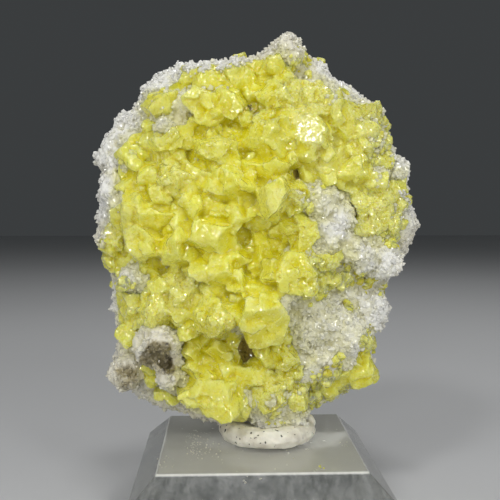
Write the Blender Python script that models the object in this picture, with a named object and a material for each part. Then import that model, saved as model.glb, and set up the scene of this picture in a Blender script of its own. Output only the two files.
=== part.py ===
"""Sulfur specimen: yellow sulfur crystals on a plate of white drusy rock, in putty on a clear display block.

Lengths are millimetres until a mesh is finished, and metres from then on.
The origin is the centre of the block's underside, +X is the viewer's right, +Y points away and +Z is up.
"""

import math
import random

import bmesh
import bpy
from mathutils import Matrix, Vector, noise

MM = 0.001
GAP = 0.42                      # air left between two pieces that touch
SLIVER = 0.62                   # edges shorter than this are closed up after the cuts
WELD = 0.02                     # points closer than this are one point
SEED = 1607

# Display block
BLOCK_SIDE = 50.8
BLOCK_HEIGHT = 14.3
BLOCK_BEVEL = 5.5

# Putty ring under the specimen
PUTTY_CENTRE = Vector((2.0, 1.0, BLOCK_HEIGHT + GAP))
PUTTY_RADIUS = 10.4
PUTTY_HEIGHT = 4.1
PUTTY_DISH = 2.4                # depth of the hollow that the rock sits in
PUTTY_STEPS = 36
PUTTY_SECTION = [               # from the middle of the underside outward, as shares of radius and height
    (0.0, 0.0), (0.82, 0.0), (0.94, 0.12), (1.0, 0.40), (0.97, 0.68), (0.88, 0.92), (0.76, 1.0), (0.62, 0.92),
]
PUTTY_DENTS = (4.0, 0.35)       # how far apart the finger marks are, and how deep
LIP_CENTRE = Vector((10.9, 2.6, 17.4))
LIP_SIZE = (3.4, 5.2, 3.6)
LIP_ROUGHNESS = 0.12

# Rock plate: its outline as seen from the front, as x and z, clockwise from the peak
OUTLINE = [
    (6.3, 101.8), (8.5, 99.7), (8.7, 97.2), (10.5, 96.4), (13.8, 95.4), (15.2, 92.6), (17.4, 90.6),
    (21, 88.6), (24, 86.5), (26.8, 86), (27.3, 83), (27.8, 79), (28, 75.5), (30.5, 74.5), (32, 72), (32.5, 68),
    (33.5, 64), (35.2, 60.3), (33.2, 56), (31.8, 52), (28.6, 48.6), (27.3, 47), (27.5, 44), (27.3, 40.5),
    (25, 38.5), (24.4, 36), (25.2, 33), (25.2, 29), (23, 26), (19, 24.3), (16, 22.3), (12.5, 20.6),
    (10.5, 19), (4, 16.5), (-3, 16.3), (-8, 16.2), (-11, 17.7), (-15, 19.2), (-20, 20.5), (-25, 23.4),
    (-28.8, 26), (-30.8, 29), (-30.6, 32), (-29.8, 35), (-30.6, 38), (-31, 42), (-31.2, 46), (-31, 49.5),
    (-32.6, 53), (-34, 57), (-33.8, 61), (-33.4, 65), (-33, 70), (-33.2, 73), (-35, 75), (-33.2, 77.5),
    (-31.5, 80), (-29.5, 83), (-26, 85), (-25.4, 86.7), (-24, 89.8), (-20.2, 93.4), (-16, 94.1),
    (-11, 95), (-6, 95.4), (0.5, 96.3), (3, 98.5),
]
MIDDLE = Vector((0.0, 0.0, 58.0))       # the outline is drawn around this point
RIM_Y = 5.0                             # the plane of the outline
FRONT_BULGE = 10.5
FRONT_ROUNDING = 2.6                    # higher is flatter in the middle and steeper at the rim
BACK_BULGE = 17.0
BACK_ROUNDING = 3.2
BROAD_ROUGHNESS = (9.0, 1.7)            # how far apart the rock's swells are, and how high
FINE_ROUGHNESS = (3.0, 1.0)
RIM_CALM = 0.75                         # how much less rough the outline is than the middle
RIM_CALM_FADE = 8                       # higher keeps the calm closer to the outline
FRONT_RINGS = (0.965, 0.88, 0.74, 0.55, 0.30)    # sizes of the rings from the rim to the middle
BACK_RINGS = (0.965, 0.88, 0.76, 0.62, 0.46, 0.29, 0.11)

# Crystal places are read on an upright plane, as the eye sees them from the front
EYE = Vector((-7.8, -161.0, 64.4))
READING_Y = 2.0

# Sulfur crystals of the main crust: x, z, width, height, lift above the rock, turn in degrees
CRUST = [
    # upper left
    (-19.8, 85.3, 8.6, 7.0, 1.6, 0), (-13.8, 91.4, 5.0, 4.4, 0.9, 0), (-22.0, 81.4, 4.6, 4.2, 1.2, 0),
    (-17.5, 78.3, 11.0, 5.2, 2.6, 22), (-26.0, 75.0, 7.6, 8.0, 1.6, 0), (-8.6, 76.7, 10.0, 5.2, 3.2, -8),
    (-10.8, 85.0, 9.4, 7.6, 2.3, 0), (-10.0, 91.0, 9.0, 5.8, 1.3, 0), (-12.6, 81.4, 5.4, 4.4, 1.8, 0),
    # top centre
    (-4.0, 91.0, 6.8, 6.4, 1.8, 0), (2.6, 93.0, 5.8, 6.8, 1.0, 0), (3.2, 87.2, 7.8, 6.8, 2.5, 0),
    (-6.2, 86.0, 8.0, 7.0, 2.9, 0), (1.5, 83.0, 3.8, 3.2, 3.2, 0), (-2.6, 82.6, 3.6, 3.2, 3.0, 0),
    (2.8, 78.8, 11.4, 8.2, 3.2, 0), (6.9, 83.6, 4.6, 5.6, 2.4, 0),
    # upper right
    (11.3, 80.5, 8.2, 8.0, 3.6, 0), (12.0, 86.6, 8.6, 7.2, 1.7, 0), (17.6, 82.2, 6.0, 8.8, 2.7, 0),
    (22.4, 80.2, 5.8, 4.8, 2.0, 0), (24.0, 84.0, 5.4, 4.6, 1.0, 0), (21.7, 76.8, 5.2, 4.8, 1.9, 0),
    (25.6, 77.2, 5.2, 5.4, 1.2, 0), (20.6, 72.2, 7.2, 6.2, 2.3, 0), (15.5, 70.4, 4.0, 4.2, 2.6, 0),
    (13.8, 75.2, 5.6, 4.6, 2.8, 0), (10.6, 75.4, 4.8, 4.8, 2.8, 0), (26.2, 72.8, 4.8, 4.4, 1.2, 0),
    (17.4, 87.4, 5.8, 4.0, 0.9, 0), (7.2, 74.6, 2.8, 2.8, 3.6, 0),
    # middle left
    (-23.8, 62.8, 9.2, 9.4, 2.9, 0), (-24.6, 56.6, 7.8, 7.6, 4.3, 0), (-17.3, 55.8, 6.6, 8.0, 4.9, 0),
    (-30.6, 57.6, 5.0, 6.6, 1.2, 0), (-30.8, 52.6, 4.0, 4.4, 1.0, 0), (-22.6, 50.8, 5.6, 4.2, 1.8, 0),
    (-20.3, 47.2, 6.0, 4.4, 2.9, 0), (-16.6, 61.8, 5.4, 4.0, 3.1, 0), (-21.0, 66.8, 6.0, 3.2, 3.6, -45),
    (-13.8, 64.8, 6.2, 6.2, 3.8, 0), (-9.2, 58.2, 9.0, 7.0, 4.4, 0), (-8.8, 64.2, 5.4, 4.8, 2.4, 0),
    (-17.4, 70.4, 8.2, 6.8, 2.9, 0), (-10.2, 51.0, 9.0, 6.6, 3.9, 0), (-27.3, 68.5, 6.0, 5.8, 1.5, 0),
    (-23.0, 70.8, 5.2, 5.2, 2.3, 0), (-18.0, 74.6, 5.2, 3.8, 2.5, 0), (-12.6, 70.4, 5.4, 5.8, 2.4, 0),
    (-28.2, 62.8, 5.0, 6.0, 1.6, 0),
    # centre
    (3.0, 66.0, 6.8, 8.4, 6.6, 0), (8.2, 66.3, 5.2, 6.8, 4.7, 0), (2.6, 72.4, 9.8, 5.6, 3.1, 0),
    (-6.4, 70.4, 11.8, 8.8, 3.9, 0), (-4.4, 62.6, 8.0, 7.4, 2.9, 0), (0.6, 61.2, 3.6, 3.6, 2.8, 0),
    (1.0, 55.6, 9.6, 11.4, 0.6, 0), (6.2, 59.2, 4.8, 6.4, 3.3, 0), (10.0, 58.6, 5.2, 7.4, 3.5, 0),
    (-4.6, 53.4, 7.4, 6.8, 3.1, 0),
    # middle right
    (21.8, 64.4, 5.4, 5.8, 1.9, 0), (26.8, 64.8, 6.0, 5.8, 1.7, 0), (23.4, 59.8, 5.4, 5.6, 2.3, 0),
    (28.4, 60.0, 5.0, 5.8, 1.7, 0), (30.2, 64.8, 4.0, 4.8, 1.1, 0), (29.3, 69.0, 4.8, 4.8, 1.2, 0),
    (24.8, 69.4, 5.4, 4.6, 1.6, 0), (14.5, 52.6, 9.0, 3.8, 3.0, 28), (12.0, 47.4, 4.8, 4.0, 2.4, 0),
    (15.2, 48.2, 4.2, 3.6, 2.2, 0), (18.4, 48.2, 4.0, 3.6, 1.9, 0), (12.4, 53.8, 4.6, 4.0, 1.8, 0),
    # lower left
    (-27.4, 45.0, 5.4, 8.8, 1.8, 0), (-27.4, 37.4, 4.8, 5.6, 1.7, 0), (-22.0, 41.6, 8.4, 7.6, 2.7, 0),
    (-16.2, 46.4, 5.8, 5.4, 2.7, 0), (-14.7, 38.0, 4.6, 5.0, 2.0, 0), (-16.4, 42.2, 5.4, 4.8, 2.3, 0),
    (-13.8, 33.6, 5.0, 7.0, 0.7, 0), (-12.4, 29.8, 7.4, 5.2, 1.7, 0), (-8.6, 33.8, 6.0, 6.4, 0.5, 0),
    # lower centre
    (1.0, 40.4, 10.6, 11.6, 6.3, 0), (-4.2, 47.6, 3.4, 5.0, 4.6, 12), (0.3, 47.0, 3.4, 4.8, 4.8, -8),
    (-8.6, 40.8, 9.6, 9.0, 5.7, 0), (6.8, 49.6, 11.0, 9.6, 4.9, 0), (3.0, 50.5, 4.8, 5.6, 5.9, 0),
    (1.5, 32.6, 4.2, 5.0, 2.3, 0), (5.8, 32.6, 5.6, 7.2, 2.5, 0), (8.4, 29.4, 5.0, 5.0, 2.3, 0),
    (8.8, 26.2, 4.8, 4.0, 1.6, 0), (-6.2, 28.6, 4.2, 5.0, 3.1, 0), (-2.8, 28.2, 3.8, 4.6, 2.7, 0),
    (0.4, 27.4, 3.8, 4.4, 2.6, 0), (5.0, 37.4, 4.2, 5.0, 2.7, 0),
    (-9.8, 23.6, 13.4, 9.4, 4.1, 8), (-3.7, 21.2, 4.0, 6.6, 3.0, 0), (2.6, 23.4, 6.8, 7.0, 2.7, 0),
    (8.0, 23.6, 5.8, 6.0, 2.1, 0), (4.6, 27.4, 5.0, 4.0, 2.3, 0),
]
# The crust between its crystals: an even layer inside this outline, as x and z
CRUST_OUTLINE = [
    (-15, 92.5), (-10, 93.8), (-3, 94.2), (3, 95), (6, 94.5), (8, 91), (12.5, 90), (17, 89), (21, 86),
    (25.6, 85.4), (26.2, 80), (26.8, 75), (29, 71), (30.8, 66), (30, 60), (28.5, 57.8), (22, 57.4),
    (20, 61), (20, 67), (17, 68.5), (11, 69.3), (10.5, 64), (12, 58), (12.6, 55.5), (17.5, 55.4),
    (18.6, 52), (19.6, 47.6), (13, 46), (8, 45), (6.6, 40), (7.4, 35), (10.2, 31), (11, 25), (9.6, 21),
    (0, 20.2), (-3, 19.5), (-8, 20.6), (-13.5, 23.4), (-16, 26.4), (-15.6, 32), (-16.4, 37.6),
    (-20, 39.4), (-25.6, 38.6), (-28.6, 36), (-29.4, 42), (-29, 48), (-31.4, 53), (-32, 58), (-29.6, 62),
    (-29, 68), (-29.2, 74.5), (-27, 78.6), (-23.4, 80.4), (-23.4, 86), (-20, 88.8), (-16, 91),
]
CRUST_THICKNESS = 1.9
CRUST_RIM = 0.5                 # the layer ends this far in front of the plane of the outline
LAYER_SKIP = 3                  # the layer follows every third point of the rock's outline
ROOTED = 1.0                    # a crystal reaches back at least this close to the rock
CROWDING = 1.06                 # crystals are this much larger than they show, and grow into each other

# Smaller clusters that stand alone: name, then x, z, width, height, lift above the rock, turn
CLUSTERS = {
    "sulfur_lower_right": [
        (21.6, 42.2, 4.2, 4.6, 1.6, 0), (22.6, 38.8, 4.8, 5.8, 1.9, 0), (22.2, 35.0, 4.4, 5.4, 1.7, 0),
        (20.6, 31.8, 4.6, 5.0, 1.3, 0), (22.8, 29.4, 6.6, 8.6, 1.8, 0), (17.4, 27.6, 6.6, 5.4, 1.2, 0),
        (17.4, 30.6, 4.6, 4.2, 2.2, 0), (14.9, 24.6, 5.2, 3.8, 1.0, 0),
    ],
    "sulfur_between_lumps": [(-23.3, 30.2, 4.0, 4.6, 1.4, 0), (-22.6, 27.6, 3.8, 3.8, 1.2, 0)],
    "sulfur_bottom_left": [(-18.4, 23.0, 4.0, 3.0, 1.2, 0), (-20.8, 24.2, 3.2, 2.8, 1.0, 0)],
}
# Clusters on the rim and on the back: name, then x, y, z, width, depth, height of each crystal
FAR_CLUSTERS = {
    "sulfur_top_left": [(-4.4, 8.4, 95.2, 5.0, 5.2, 4.8), (-1.6, 10.2, 94.8, 4.8, 4.8, 4.4)],
    "sulfur_top_right": [(12.8, 8.6, 94.0, 5.2, 6.0, 5.6), (11.4, 10.8, 94.0, 5.6, 5.6, 5.4)],
    "sulfur_back_high": [
        (13.6, 21.4, 72.4, 8.6, 7.6, 8.0), (18.4, 19.8, 69.0, 7.4, 7.6, 7.0),
        (11.0, 22.6, 67.4, 7.6, 6.8, 7.2), (15.6, 21.4, 64.6, 6.8, 6.8, 6.4),
    ],
    "sulfur_back_low": [
        (-12.0, 22.0, 44.6, 8.2, 7.2, 7.6), (-16.8, 20.6, 41.0, 7.2, 7.2, 7.6),
        (-11.2, 22.2, 38.8, 7.6, 7.0, 7.0),
    ],
}

# Rounded lumps that the rock carries: x, z, width, height, lift above the plate
DRUSE_LUMPS = [
    (12.4, 39.4, 12.0, 10.0, 0.0), (17.6, 37.0, 11.0, 13.0, -0.2), (12.4, 31.6, 9.6, 11.0, 0.2),
    (17.0, 32.4, 8.0, 7.0, -0.2), (25.0, 42.2, 5.4, 8.0, 0.6),
    (13.4, 65.2, 7.4, 6.8, 1.3), (17.4, 62.6, 7.0, 6.8, 1.1), (15.4, 58.4, 7.4, 6.4, 1.2),
    (20.8, 54.4, 9.0, 7.0, 1.0), (26.6, 52.6, 8.4, 7.4, 0.9), (29.0, 72.2, 5.6, 5.6, 0.6),
    (-26.2, 48.6, 6.0, 5.8, 2.0), (-19.4, 81.0, 4.4, 3.4, 2.8), (-30.6, 68.0, 4.6, 9.6, 0.8),
    (4.6, 18.6, 13.0, 4.6, 1.2), (6.6, 96.4, 5.0, 7.4, 0.6),
]
ROCK_LUMPS = [
    (-21.2, 35.2, 10.0, 7.2, 3.0), (-19.4, 30.2, 5.2, 8.2, 2.8), (-27.8, 28.8, 6.6, 7.0, 1.6),
]
# Lumps on the back: x, y, z, width, depth, height
BACK_LUMPS = [
    (-12.0, 18.0, 70.0, 20.0, 10.0, 18.0), (12.0, 17.0, 48.0, 18.0, 11.0, 16.0),
    (-4.0, 17.0, 30.0, 14.0, 10.0, 12.0), (2.0, 18.0, 84.0, 16.0, 8.0, 10.0),
]
LUMP_ROUGHNESS = 0.36           # share of a lump's size
LUMP_DEPTH_LIMIT = 9.0

# Hollows: x, z, width, height, depth, read like the crystals
PITS = [
    (-2.2, 33.4, 4.4, 6.8, 11.0), (7.8, 71.2, 2.7, 4.6, 9.0), (-1.8, 85.3, 1.7, 1.5, 7.0),
]
PIT_START = 2.0                 # a hollow's middle lies this far in front of the plate
ROCK_PIT_START = 5.0
ROCK_PITS = [
    (-21.8, 33.6, 6.2, 4.0, 5.4), (-19.6, 31.0, 3.4, 5.2, 6.4), (-24.2, 31.6, 4.4, 3.0, 5.0),
    (-28.2, 29.6, 2.2, 1.6, 6.0),
]

# Sulfur is orthorhombic: its axes, and the faces that its crystals show with their distance from the centre
SULFUR_AXES = (0.813, 1.0, 1.903)
PYRAMID = ((1, 1, 1), 1.00)
FLAT_PYRAMID = ((1, 1, 3), 1.26)
BASE = ((0, 0, 1), 1.38)
DISTANCE_JITTER = 0.16
STEEP_FACES_KEPT = 7            # how many of the eight steep pyramid faces a crystal shows
FLAT_FACES_KEPT = 2             # how many of the eight flatter ones

ROUGH_CUBE = 7.0                # side of the cube that a crystal is cut from, before it is sized

SULFUR_YELLOW = (0.62, 0.56, 0.05)
ROCK_WHITE = (0.58, 0.56, 0.48)
PUTTY_WHITE = (0.66, 0.62, 0.52)
CLEAR_GREY = (0.86, 0.87, 0.86)


def clear_scene():
    """Remove whatever the file holds."""
    for item in list(bpy.data.objects):
        bpy.data.objects.remove(item, do_unlink=True)


def make_material(name, colour, roughness, transmission=0.0, ior=1.5):
    """A plain Principled material."""
    material = bpy.data.materials.new(name)
    material.use_nodes = True
    shader = material.node_tree.nodes["Principled BSDF"]
    shader.inputs["Base Color"].default_value = (*colour, 1.0)
    shader.inputs["Roughness"].default_value = roughness
    shader.inputs["Metallic"].default_value = 0.0
    shader.inputs["Transmission Weight"].default_value = transmission
    shader.inputs["IOR"].default_value = ior
    return material


def outline_reach(angle):
    """Distance from the plate's middle to its outline in a direction of the XZ plane."""
    for (x0, z0), (x1, z1) in zip(OUTLINE, OUTLINE[1:] + OUTLINE[:1]):
        start = Vector((x0 - MIDDLE.x, z0 - MIDDLE.z))
        end = Vector((x1 - MIDDLE.x, z1 - MIDDLE.z))
        way = Vector((math.cos(angle), math.sin(angle)))
        side = end - start
        spread = way.x * side.y - way.y * side.x
        if abs(spread) < 1e-9:
            continue
        reach = (start.x * side.y - start.y * side.x) / spread
        share = (start.x * way.y - start.y * way.x) / spread
        if reach > 0 and -1e-6 <= share <= 1.0 + 1e-6:
            return reach
    return 0.0


def front_depth(share):
    """Y of the plate's front where a point lies at this share of the way to the outline."""
    return RIM_Y - FRONT_BULGE * math.sqrt(max(0.0, 1.0 - min(share, 1.0) ** FRONT_ROUNDING))


def back_depth(share):
    """Y of the plate's back where a point lies at this share of the way to the outline."""
    return RIM_Y + BACK_BULGE * math.sqrt(max(0.0, 1.0 - min(share, 1.0) ** BACK_ROUNDING))


def share_of_outline(x, z):
    """How far a point lies from the middle, as a share of the way to the outline."""
    away = Vector((x - MIDDLE.x, z - MIDDLE.z))
    return away.length / outline_reach(math.atan2(away.y, away.x))


def seen_from_front(x, z, y):
    """The point at depth y that the eye sees where the reading plane has x and z."""
    ray = Vector((x, READING_Y, z)) - EYE
    return EYE + ray * ((y - EYE.y) / ray.y)


def on_plate(x, z, lift):
    """A place this far in front of the plate, from a reading of its x and z."""
    y = front_depth(share_of_outline(x, z)) - lift
    for _ in range(3):
        place = seen_from_front(x, z, y)
        y = front_depth(share_of_outline(place.x, place.z)) - lift
    return seen_from_front(x, z, y)


def rock_noise(point):
    """How far the rock's surface strays from the smooth plate."""
    broad = noise.noise(point / BROAD_ROUGHNESS[0]) * BROAD_ROUGHNESS[1]
    fine = noise.noise(point / FINE_ROUGHNESS[0] + Vector((7, 3, 1))) * FINE_ROUGHNESS[1]
    return broad + fine


def plate_form(grow, skip=1):
    """The plate as rings from the front's middle over the rim to the back's middle, grown outward."""
    form = bmesh.new()
    spokes = [Vector((x - MIDDLE.x, 0.0, z - MIDDLE.z)) for x, z in OUTLINE[::skip]]
    count = len(spokes)
    levels = [(share, front_depth(share)) for share in reversed(FRONT_RINGS)]
    levels += [(1.0, RIM_Y)] + [(share, back_depth(share)) for share in BACK_RINGS]
    rings = []
    roughness = {}
    for share, depth in levels:
        middle = Vector((MIDDLE.x, depth, MIDDLE.z))
        ring = [form.verts.new(middle + spoke * share) for spoke in spokes]
        roughness.update((vert, 1.0 - RIM_CALM * share ** RIM_CALM_FADE) for vert in ring)
        rings.append(ring)
    for near, far in zip(rings, rings[1:]):
        for step in range(count):
            after = (step + 1) % count
            form.faces.new((near[step], near[after], far[after], far[step]))
    for ring, depth in ((rings[0], front_depth(0.0)), (rings[-1], back_depth(0.0))):
        tip = form.verts.new((MIDDLE.x, depth, MIDDLE.z))
        roughness[tip] = 1.0
        for step in range(count):
            form.faces.new((ring[step], ring[(step + 1) % count], tip))
    bmesh.ops.recalc_face_normals(form, faces=form.faces)
    form.normal_update()
    for vert in form.verts:
        vert.co += vert.normal * (rock_noise(vert.co) * roughness[vert] + grow)
    bmesh.ops.triangulate(form, faces=form.faces)
    return form


def lump_form(centre, size, grow, roughness=LUMP_ROUGHNESS):
    """A rounded, uneven lump."""
    form = bmesh.new()
    bmesh.ops.create_icosphere(form, subdivisions=2, radius=1.0)
    for vert in form.verts:
        way = vert.co.copy()
        uneven = 1.0 + roughness * noise.noise(way * 2.4 + centre)
        vert.co = centre + Vector([way[i] * (size[i] / 2 * uneven + grow) for i in range(3)])
    bmesh.ops.recalc_face_normals(form, faces=form.faces)
    return form


def face_normals(indices):
    """Unit normals of every face of one crystal form, from its Miller indices."""
    normals = []
    for sx in (1, -1) if indices[0] else (1,):
        for sy in (1, -1) if indices[1] else (1,):
            for sz in (1, -1):
                signs = (sx, sy, sz)
                slope = Vector([signs[i] * indices[i] / SULFUR_AXES[i] for i in range(3)])
                normals.append(slope.normalized())
    return normals


def cut_flat(form, normal, distance):
    """Slice off what lies beyond a plane, and close the cut with one flat face."""
    everything = form.verts[:] + form.edges[:] + form.faces[:]
    result = bmesh.ops.bisect_plane(
        form, geom=everything, dist=1e-5, plane_co=normal * distance, plane_no=normal, clear_outer=True
    )
    rim = [item for item in result["geom_cut"] if isinstance(item, bmesh.types.BMEdge)]
    if rim:
        bmesh.ops.edgeloop_fill(form, edges=rim)


def crystal_form(centre, size, turn, rng):
    """A blocky sulfur crystal: a cube cut by the faces of its pyramids and its base."""
    form = bmesh.new()
    bmesh.ops.create_cube(form, size=ROUGH_CUBE)
    lean = (
        Matrix.Rotation(rng.uniform(0, 2 * math.pi), 3, "X")
        @ Matrix.Rotation(rng.uniform(0, 2 * math.pi), 3, "Y")
        @ Matrix.Rotation(rng.uniform(0, 2 * math.pi), 3, "Z")
    )
    faces = [(normal, PYRAMID[1]) for normal in rng.sample(face_normals(PYRAMID[0]), STEEP_FACES_KEPT)]
    faces += [(normal, BASE[1]) for normal in face_normals(BASE[0])]
    flatter = rng.sample(face_normals(FLAT_PYRAMID[0]), FLAT_FACES_KEPT)
    faces += [(normal, FLAT_PYRAMID[1]) for normal in flatter]
    for normal, distance in faces:
        cut_flat(form, lean @ normal, distance * rng.uniform(1 - DISTANCE_JITTER, 1 + DISTANCE_JITTER))
    low = Vector([min(vert.co[i] for vert in form.verts) for i in range(3)])
    high = Vector([max(vert.co[i] for vert in form.verts) for i in range(3)])
    middle = (low + high) / 2
    tilt = Matrix.Rotation(math.radians(-turn), 3, "Y")
    for vert in form.verts:
        fitted = Vector([(vert.co[i] - middle[i]) / (high[i] - low[i]) * size[i] for i in range(3)])
        vert.co = centre + tilt @ fitted
    bmesh.ops.remove_doubles(form, verts=form.verts, dist=WELD)
    bmesh.ops.recalc_face_normals(form, faces=form.faces)
    return form


def work_object(name, form):
    """An object made from one closed form."""
    mesh = bpy.data.meshes.new(name)
    form.to_mesh(mesh)
    form.free()
    made = bpy.data.objects.new(name, mesh)
    bpy.context.scene.collection.objects.link(made)
    return made


def combine(target, others, operation):
    """Join, cut or intersect target with each of the others in turn, and keep the outcome as its mesh."""
    for other in others:
        step = target.modifiers.new(other.name, "BOOLEAN")
        step.operation = operation
        step.solver = "EXACT"
        step.object = other
    outcome = bpy.data.meshes.new_from_object(target.evaluated_get(bpy.context.evaluated_depsgraph_get()))
    target.modifiers.clear()
    used = target.data
    target.data = outcome
    bpy.data.meshes.remove(used)


def combine_forms(target, forms, operation):
    """Join or cut target with forms that are not needed afterwards."""
    helpers = [work_object("helper", form) for form in forms]
    combine(target, helpers, operation)
    discard(*helpers)


def discard(*objects):
    """Remove helpers that are done with."""
    for item in objects:
        bpy.data.objects.remove(item, do_unlink=True)


def collapse_slivers(form):
    """Close up the short edges that cuts leave, wherever that keeps the surface whole."""
    bmesh.ops.triangulate(form, faces=form.faces)
    for edge in sorted(form.edges, key=lambda item: item.calc_length()):
        if not edge.is_valid or edge.calc_length() > SLIVER:
            continue
        near, far = edge.verts
        around_near = {other.other_vert(near) for other in near.link_edges}
        around_far = {other.other_vert(far) for other in far.link_edges}
        if len(around_near & around_far) == 2:
            bmesh.ops.pointmerge(form, verts=[near, far], merge_co=(near.co + far.co) / 2)


def keep_largest(target):
    """Drop crumbs that a cut has parted from the piece."""
    form = bmesh.new()
    form.from_mesh(target.data)
    left = set(form.faces)
    islands = []
    while left:
        seed = left.pop()
        island, waiting = [seed], [seed]
        while waiting:
            beside = {other for edge in waiting.pop().edges for other in edge.link_faces} & left
            left -= beside
            island += beside
            waiting += beside
        islands.append(island)
    islands.sort(key=len)
    crumbs = [face for island in islands[:-1] for face in island]
    bmesh.ops.delete(form, geom=crumbs, context="FACES")
    collapse_slivers(form)
    form.to_mesh(target.data)
    form.free()


def finish(target, name, material, parts):
    """Turn a work object into a finished sub-part in metres."""
    target.name = name
    target.data.name = name
    target.data.transform(Matrix.Scale(MM, 4))
    target.data.materials.clear()
    target.data.materials.append(material)
    for holder in list(target.users_collection):
        holder.objects.unlink(target)
    parts.objects.link(target)
    return target


def build_block(material, parts):
    """The clear block, with its four upper edges bevelled flat."""
    form = bmesh.new()
    bmesh.ops.create_cube(form, size=1.0)
    bmesh.ops.scale(form, vec=(BLOCK_SIDE, BLOCK_SIDE, BLOCK_HEIGHT), verts=form.verts)
    bmesh.ops.translate(form, vec=(0, 0, BLOCK_HEIGHT / 2), verts=form.verts)
    upper = [edge for edge in form.edges if all(vert.co.z > BLOCK_HEIGHT / 2 for vert in edge.verts)]
    bmesh.ops.bevel(form, geom=upper, offset=BLOCK_BEVEL, segments=1, affect="EDGES")
    return finish(work_object("block", form), "acrylic_block", material, parts)


def putty_form():
    """The pressed ring of putty, turned from its section."""
    section = [Vector((out * PUTTY_RADIUS, 0.0, up * PUTTY_HEIGHT)) for out, up in PUTTY_SECTION]
    section.append(Vector((0.0, 0.0, PUTTY_HEIGHT - PUTTY_DISH)))
    form = bmesh.new()
    verts = [form.verts.new(point) for point in section]
    edges = [form.edges.new(pair) for pair in zip(verts, verts[1:])]
    bmesh.ops.spin(
        form, geom=verts + edges, cent=(0, 0, 0), axis=(0, 0, 1), angle=2 * math.pi, steps=PUTTY_STEPS,
        use_merge=True,
    )
    bmesh.ops.remove_doubles(form, verts=form.verts, dist=WELD)
    spacing, deepest = PUTTY_DENTS
    for vert in form.verts:
        outward = Vector((vert.co.x, vert.co.y, 0.0))
        dent = deepest * noise.noise(vert.co / spacing) * outward.length / PUTTY_RADIUS
        if vert.co.z > WELD:
            vert.co += outward.normalized() * dent + Vector((0, 0, dent))
        vert.co += PUTTY_CENTRE
    bmesh.ops.recalc_face_normals(form, faces=form.faces)
    bmesh.ops.triangulate(form, faces=form.faces)
    return form


def build_putty(rock_room, material, parts):
    """The putty, hollowed by the rock that is pressed into it."""
    putty = work_object("putty", putty_form())
    combine_forms(putty, [lump_form(LIP_CENTRE, LIP_SIZE, 0.0, LIP_ROUGHNESS)], "UNION")
    combine(putty, [rock_room], "DIFFERENCE")
    keep_largest(putty)
    return finish(putty, "putty", material, parts)


def rock_forms(grow):
    """The plate and all its lumps, each grown outward."""
    forms = [plate_form(grow)]
    for x, z, width, height, lift in DRUSE_LUMPS + ROCK_LUMPS:
        depth = min((width + height) / 2 + 2 * lift, LUMP_DEPTH_LIMIT)
        forms.append(lump_form(on_plate(x, z, lift), (width, depth, height), grow))
    for x, y, z, width, depth, height in BACK_LUMPS:
        forms.append(lump_form(Vector((x, y, z)), (width, depth, height), grow))
    return forms


def joined_rock(name, grow):
    """The rock as one closed solid."""
    forms = rock_forms(grow)
    rock = work_object(name, forms[0])
    combine_forms(rock, forms[1:], "UNION")
    return rock


def pit_forms(pits, outward):
    """Round hollows that run from in front of the surface down into it."""
    forms = []
    for x, z, width, height, depth in pits:
        forms.append(lump_form(on_plate(x, z, outward), (width, depth, height), 0.0))
    return forms


def crystals(listed, rng):
    """The crystals of one list, standing on the plate's front."""
    forms = []
    for x, z, width, height, lift, turn in listed:
        place = on_plate(x, z, lift)
        nearness = (place.y - EYE.y) / (READING_Y - EYE.y)
        depth = max((width + height) / 2, 2 * (lift - ROOTED))
        size = Vector((width, depth, height)) * (nearness * CROWDING)
        forms.append(crystal_form(place, size, turn, rng))
    return forms


def crust_layer():
    """The even layer of sulfur between the crystals of the crust."""
    layer = work_object("crust_layer", plate_form(CRUST_THICKNESS, LAYER_SKIP))
    form = bmesh.new()
    near = [form.verts.new(seen_from_front(x, z, RIM_Y - 2 * FRONT_BULGE)) for x, z in CRUST_OUTLINE]
    far = [form.verts.new(seen_from_front(x, z, RIM_Y - CRUST_RIM)) for x, z in CRUST_OUTLINE]
    form.faces.new(near)
    form.faces.new(far)
    for step in range(len(near)):
        after = (step + 1) % len(near)
        form.faces.new((near[step], near[after], far[after], far[step]))
    bmesh.ops.recalc_face_normals(form, faces=form.faces)
    combine_forms(layer, [form], "INTERSECT")
    return layer


def build_cluster(name, forms, rock_room, material, parts):
    """One cluster of crystals grown together."""
    cluster = work_object(name, forms[0])
    combine_forms(cluster, forms[1:], "UNION")
    combine(cluster, [rock_room], "DIFFERENCE")
    keep_largest(cluster)
    finish(cluster, name, material, parts)


def build_sulfur(rock_room, material, parts):
    """The crust and the clusters that stand alone, each cut clear of the rock."""
    rng = random.Random(SEED)
    crust = crust_layer()
    combine_forms(crust, crystals(CRUST, rng), "UNION")
    combine(crust, [rock_room], "DIFFERENCE")
    combine_forms(crust, pit_forms(PITS, PIT_START), "DIFFERENCE")
    keep_largest(crust)
    finish(crust, "sulfur_crust", material, parts)
    for name, listed in CLUSTERS.items():
        build_cluster(name, crystals(listed, rng), rock_room, material, parts)
    for name, listed in FAR_CLUSTERS.items():
        forms = [crystal_form(Vector((x, y, z)), (w, d, h), 0, rng) for x, y, z, w, d, h in listed]
        build_cluster(name, forms, rock_room, material, parts)


def build_rock(material, parts):
    """The rock plate with its lumps and hollows."""
    rock = joined_rock("rock", 0.0)
    combine_forms(rock, pit_forms(PITS, PIT_START) + pit_forms(ROCK_PITS, ROCK_PIT_START), "DIFFERENCE")
    keep_largest(rock)
    return finish(rock, "matrix_rock", material, parts)


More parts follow.
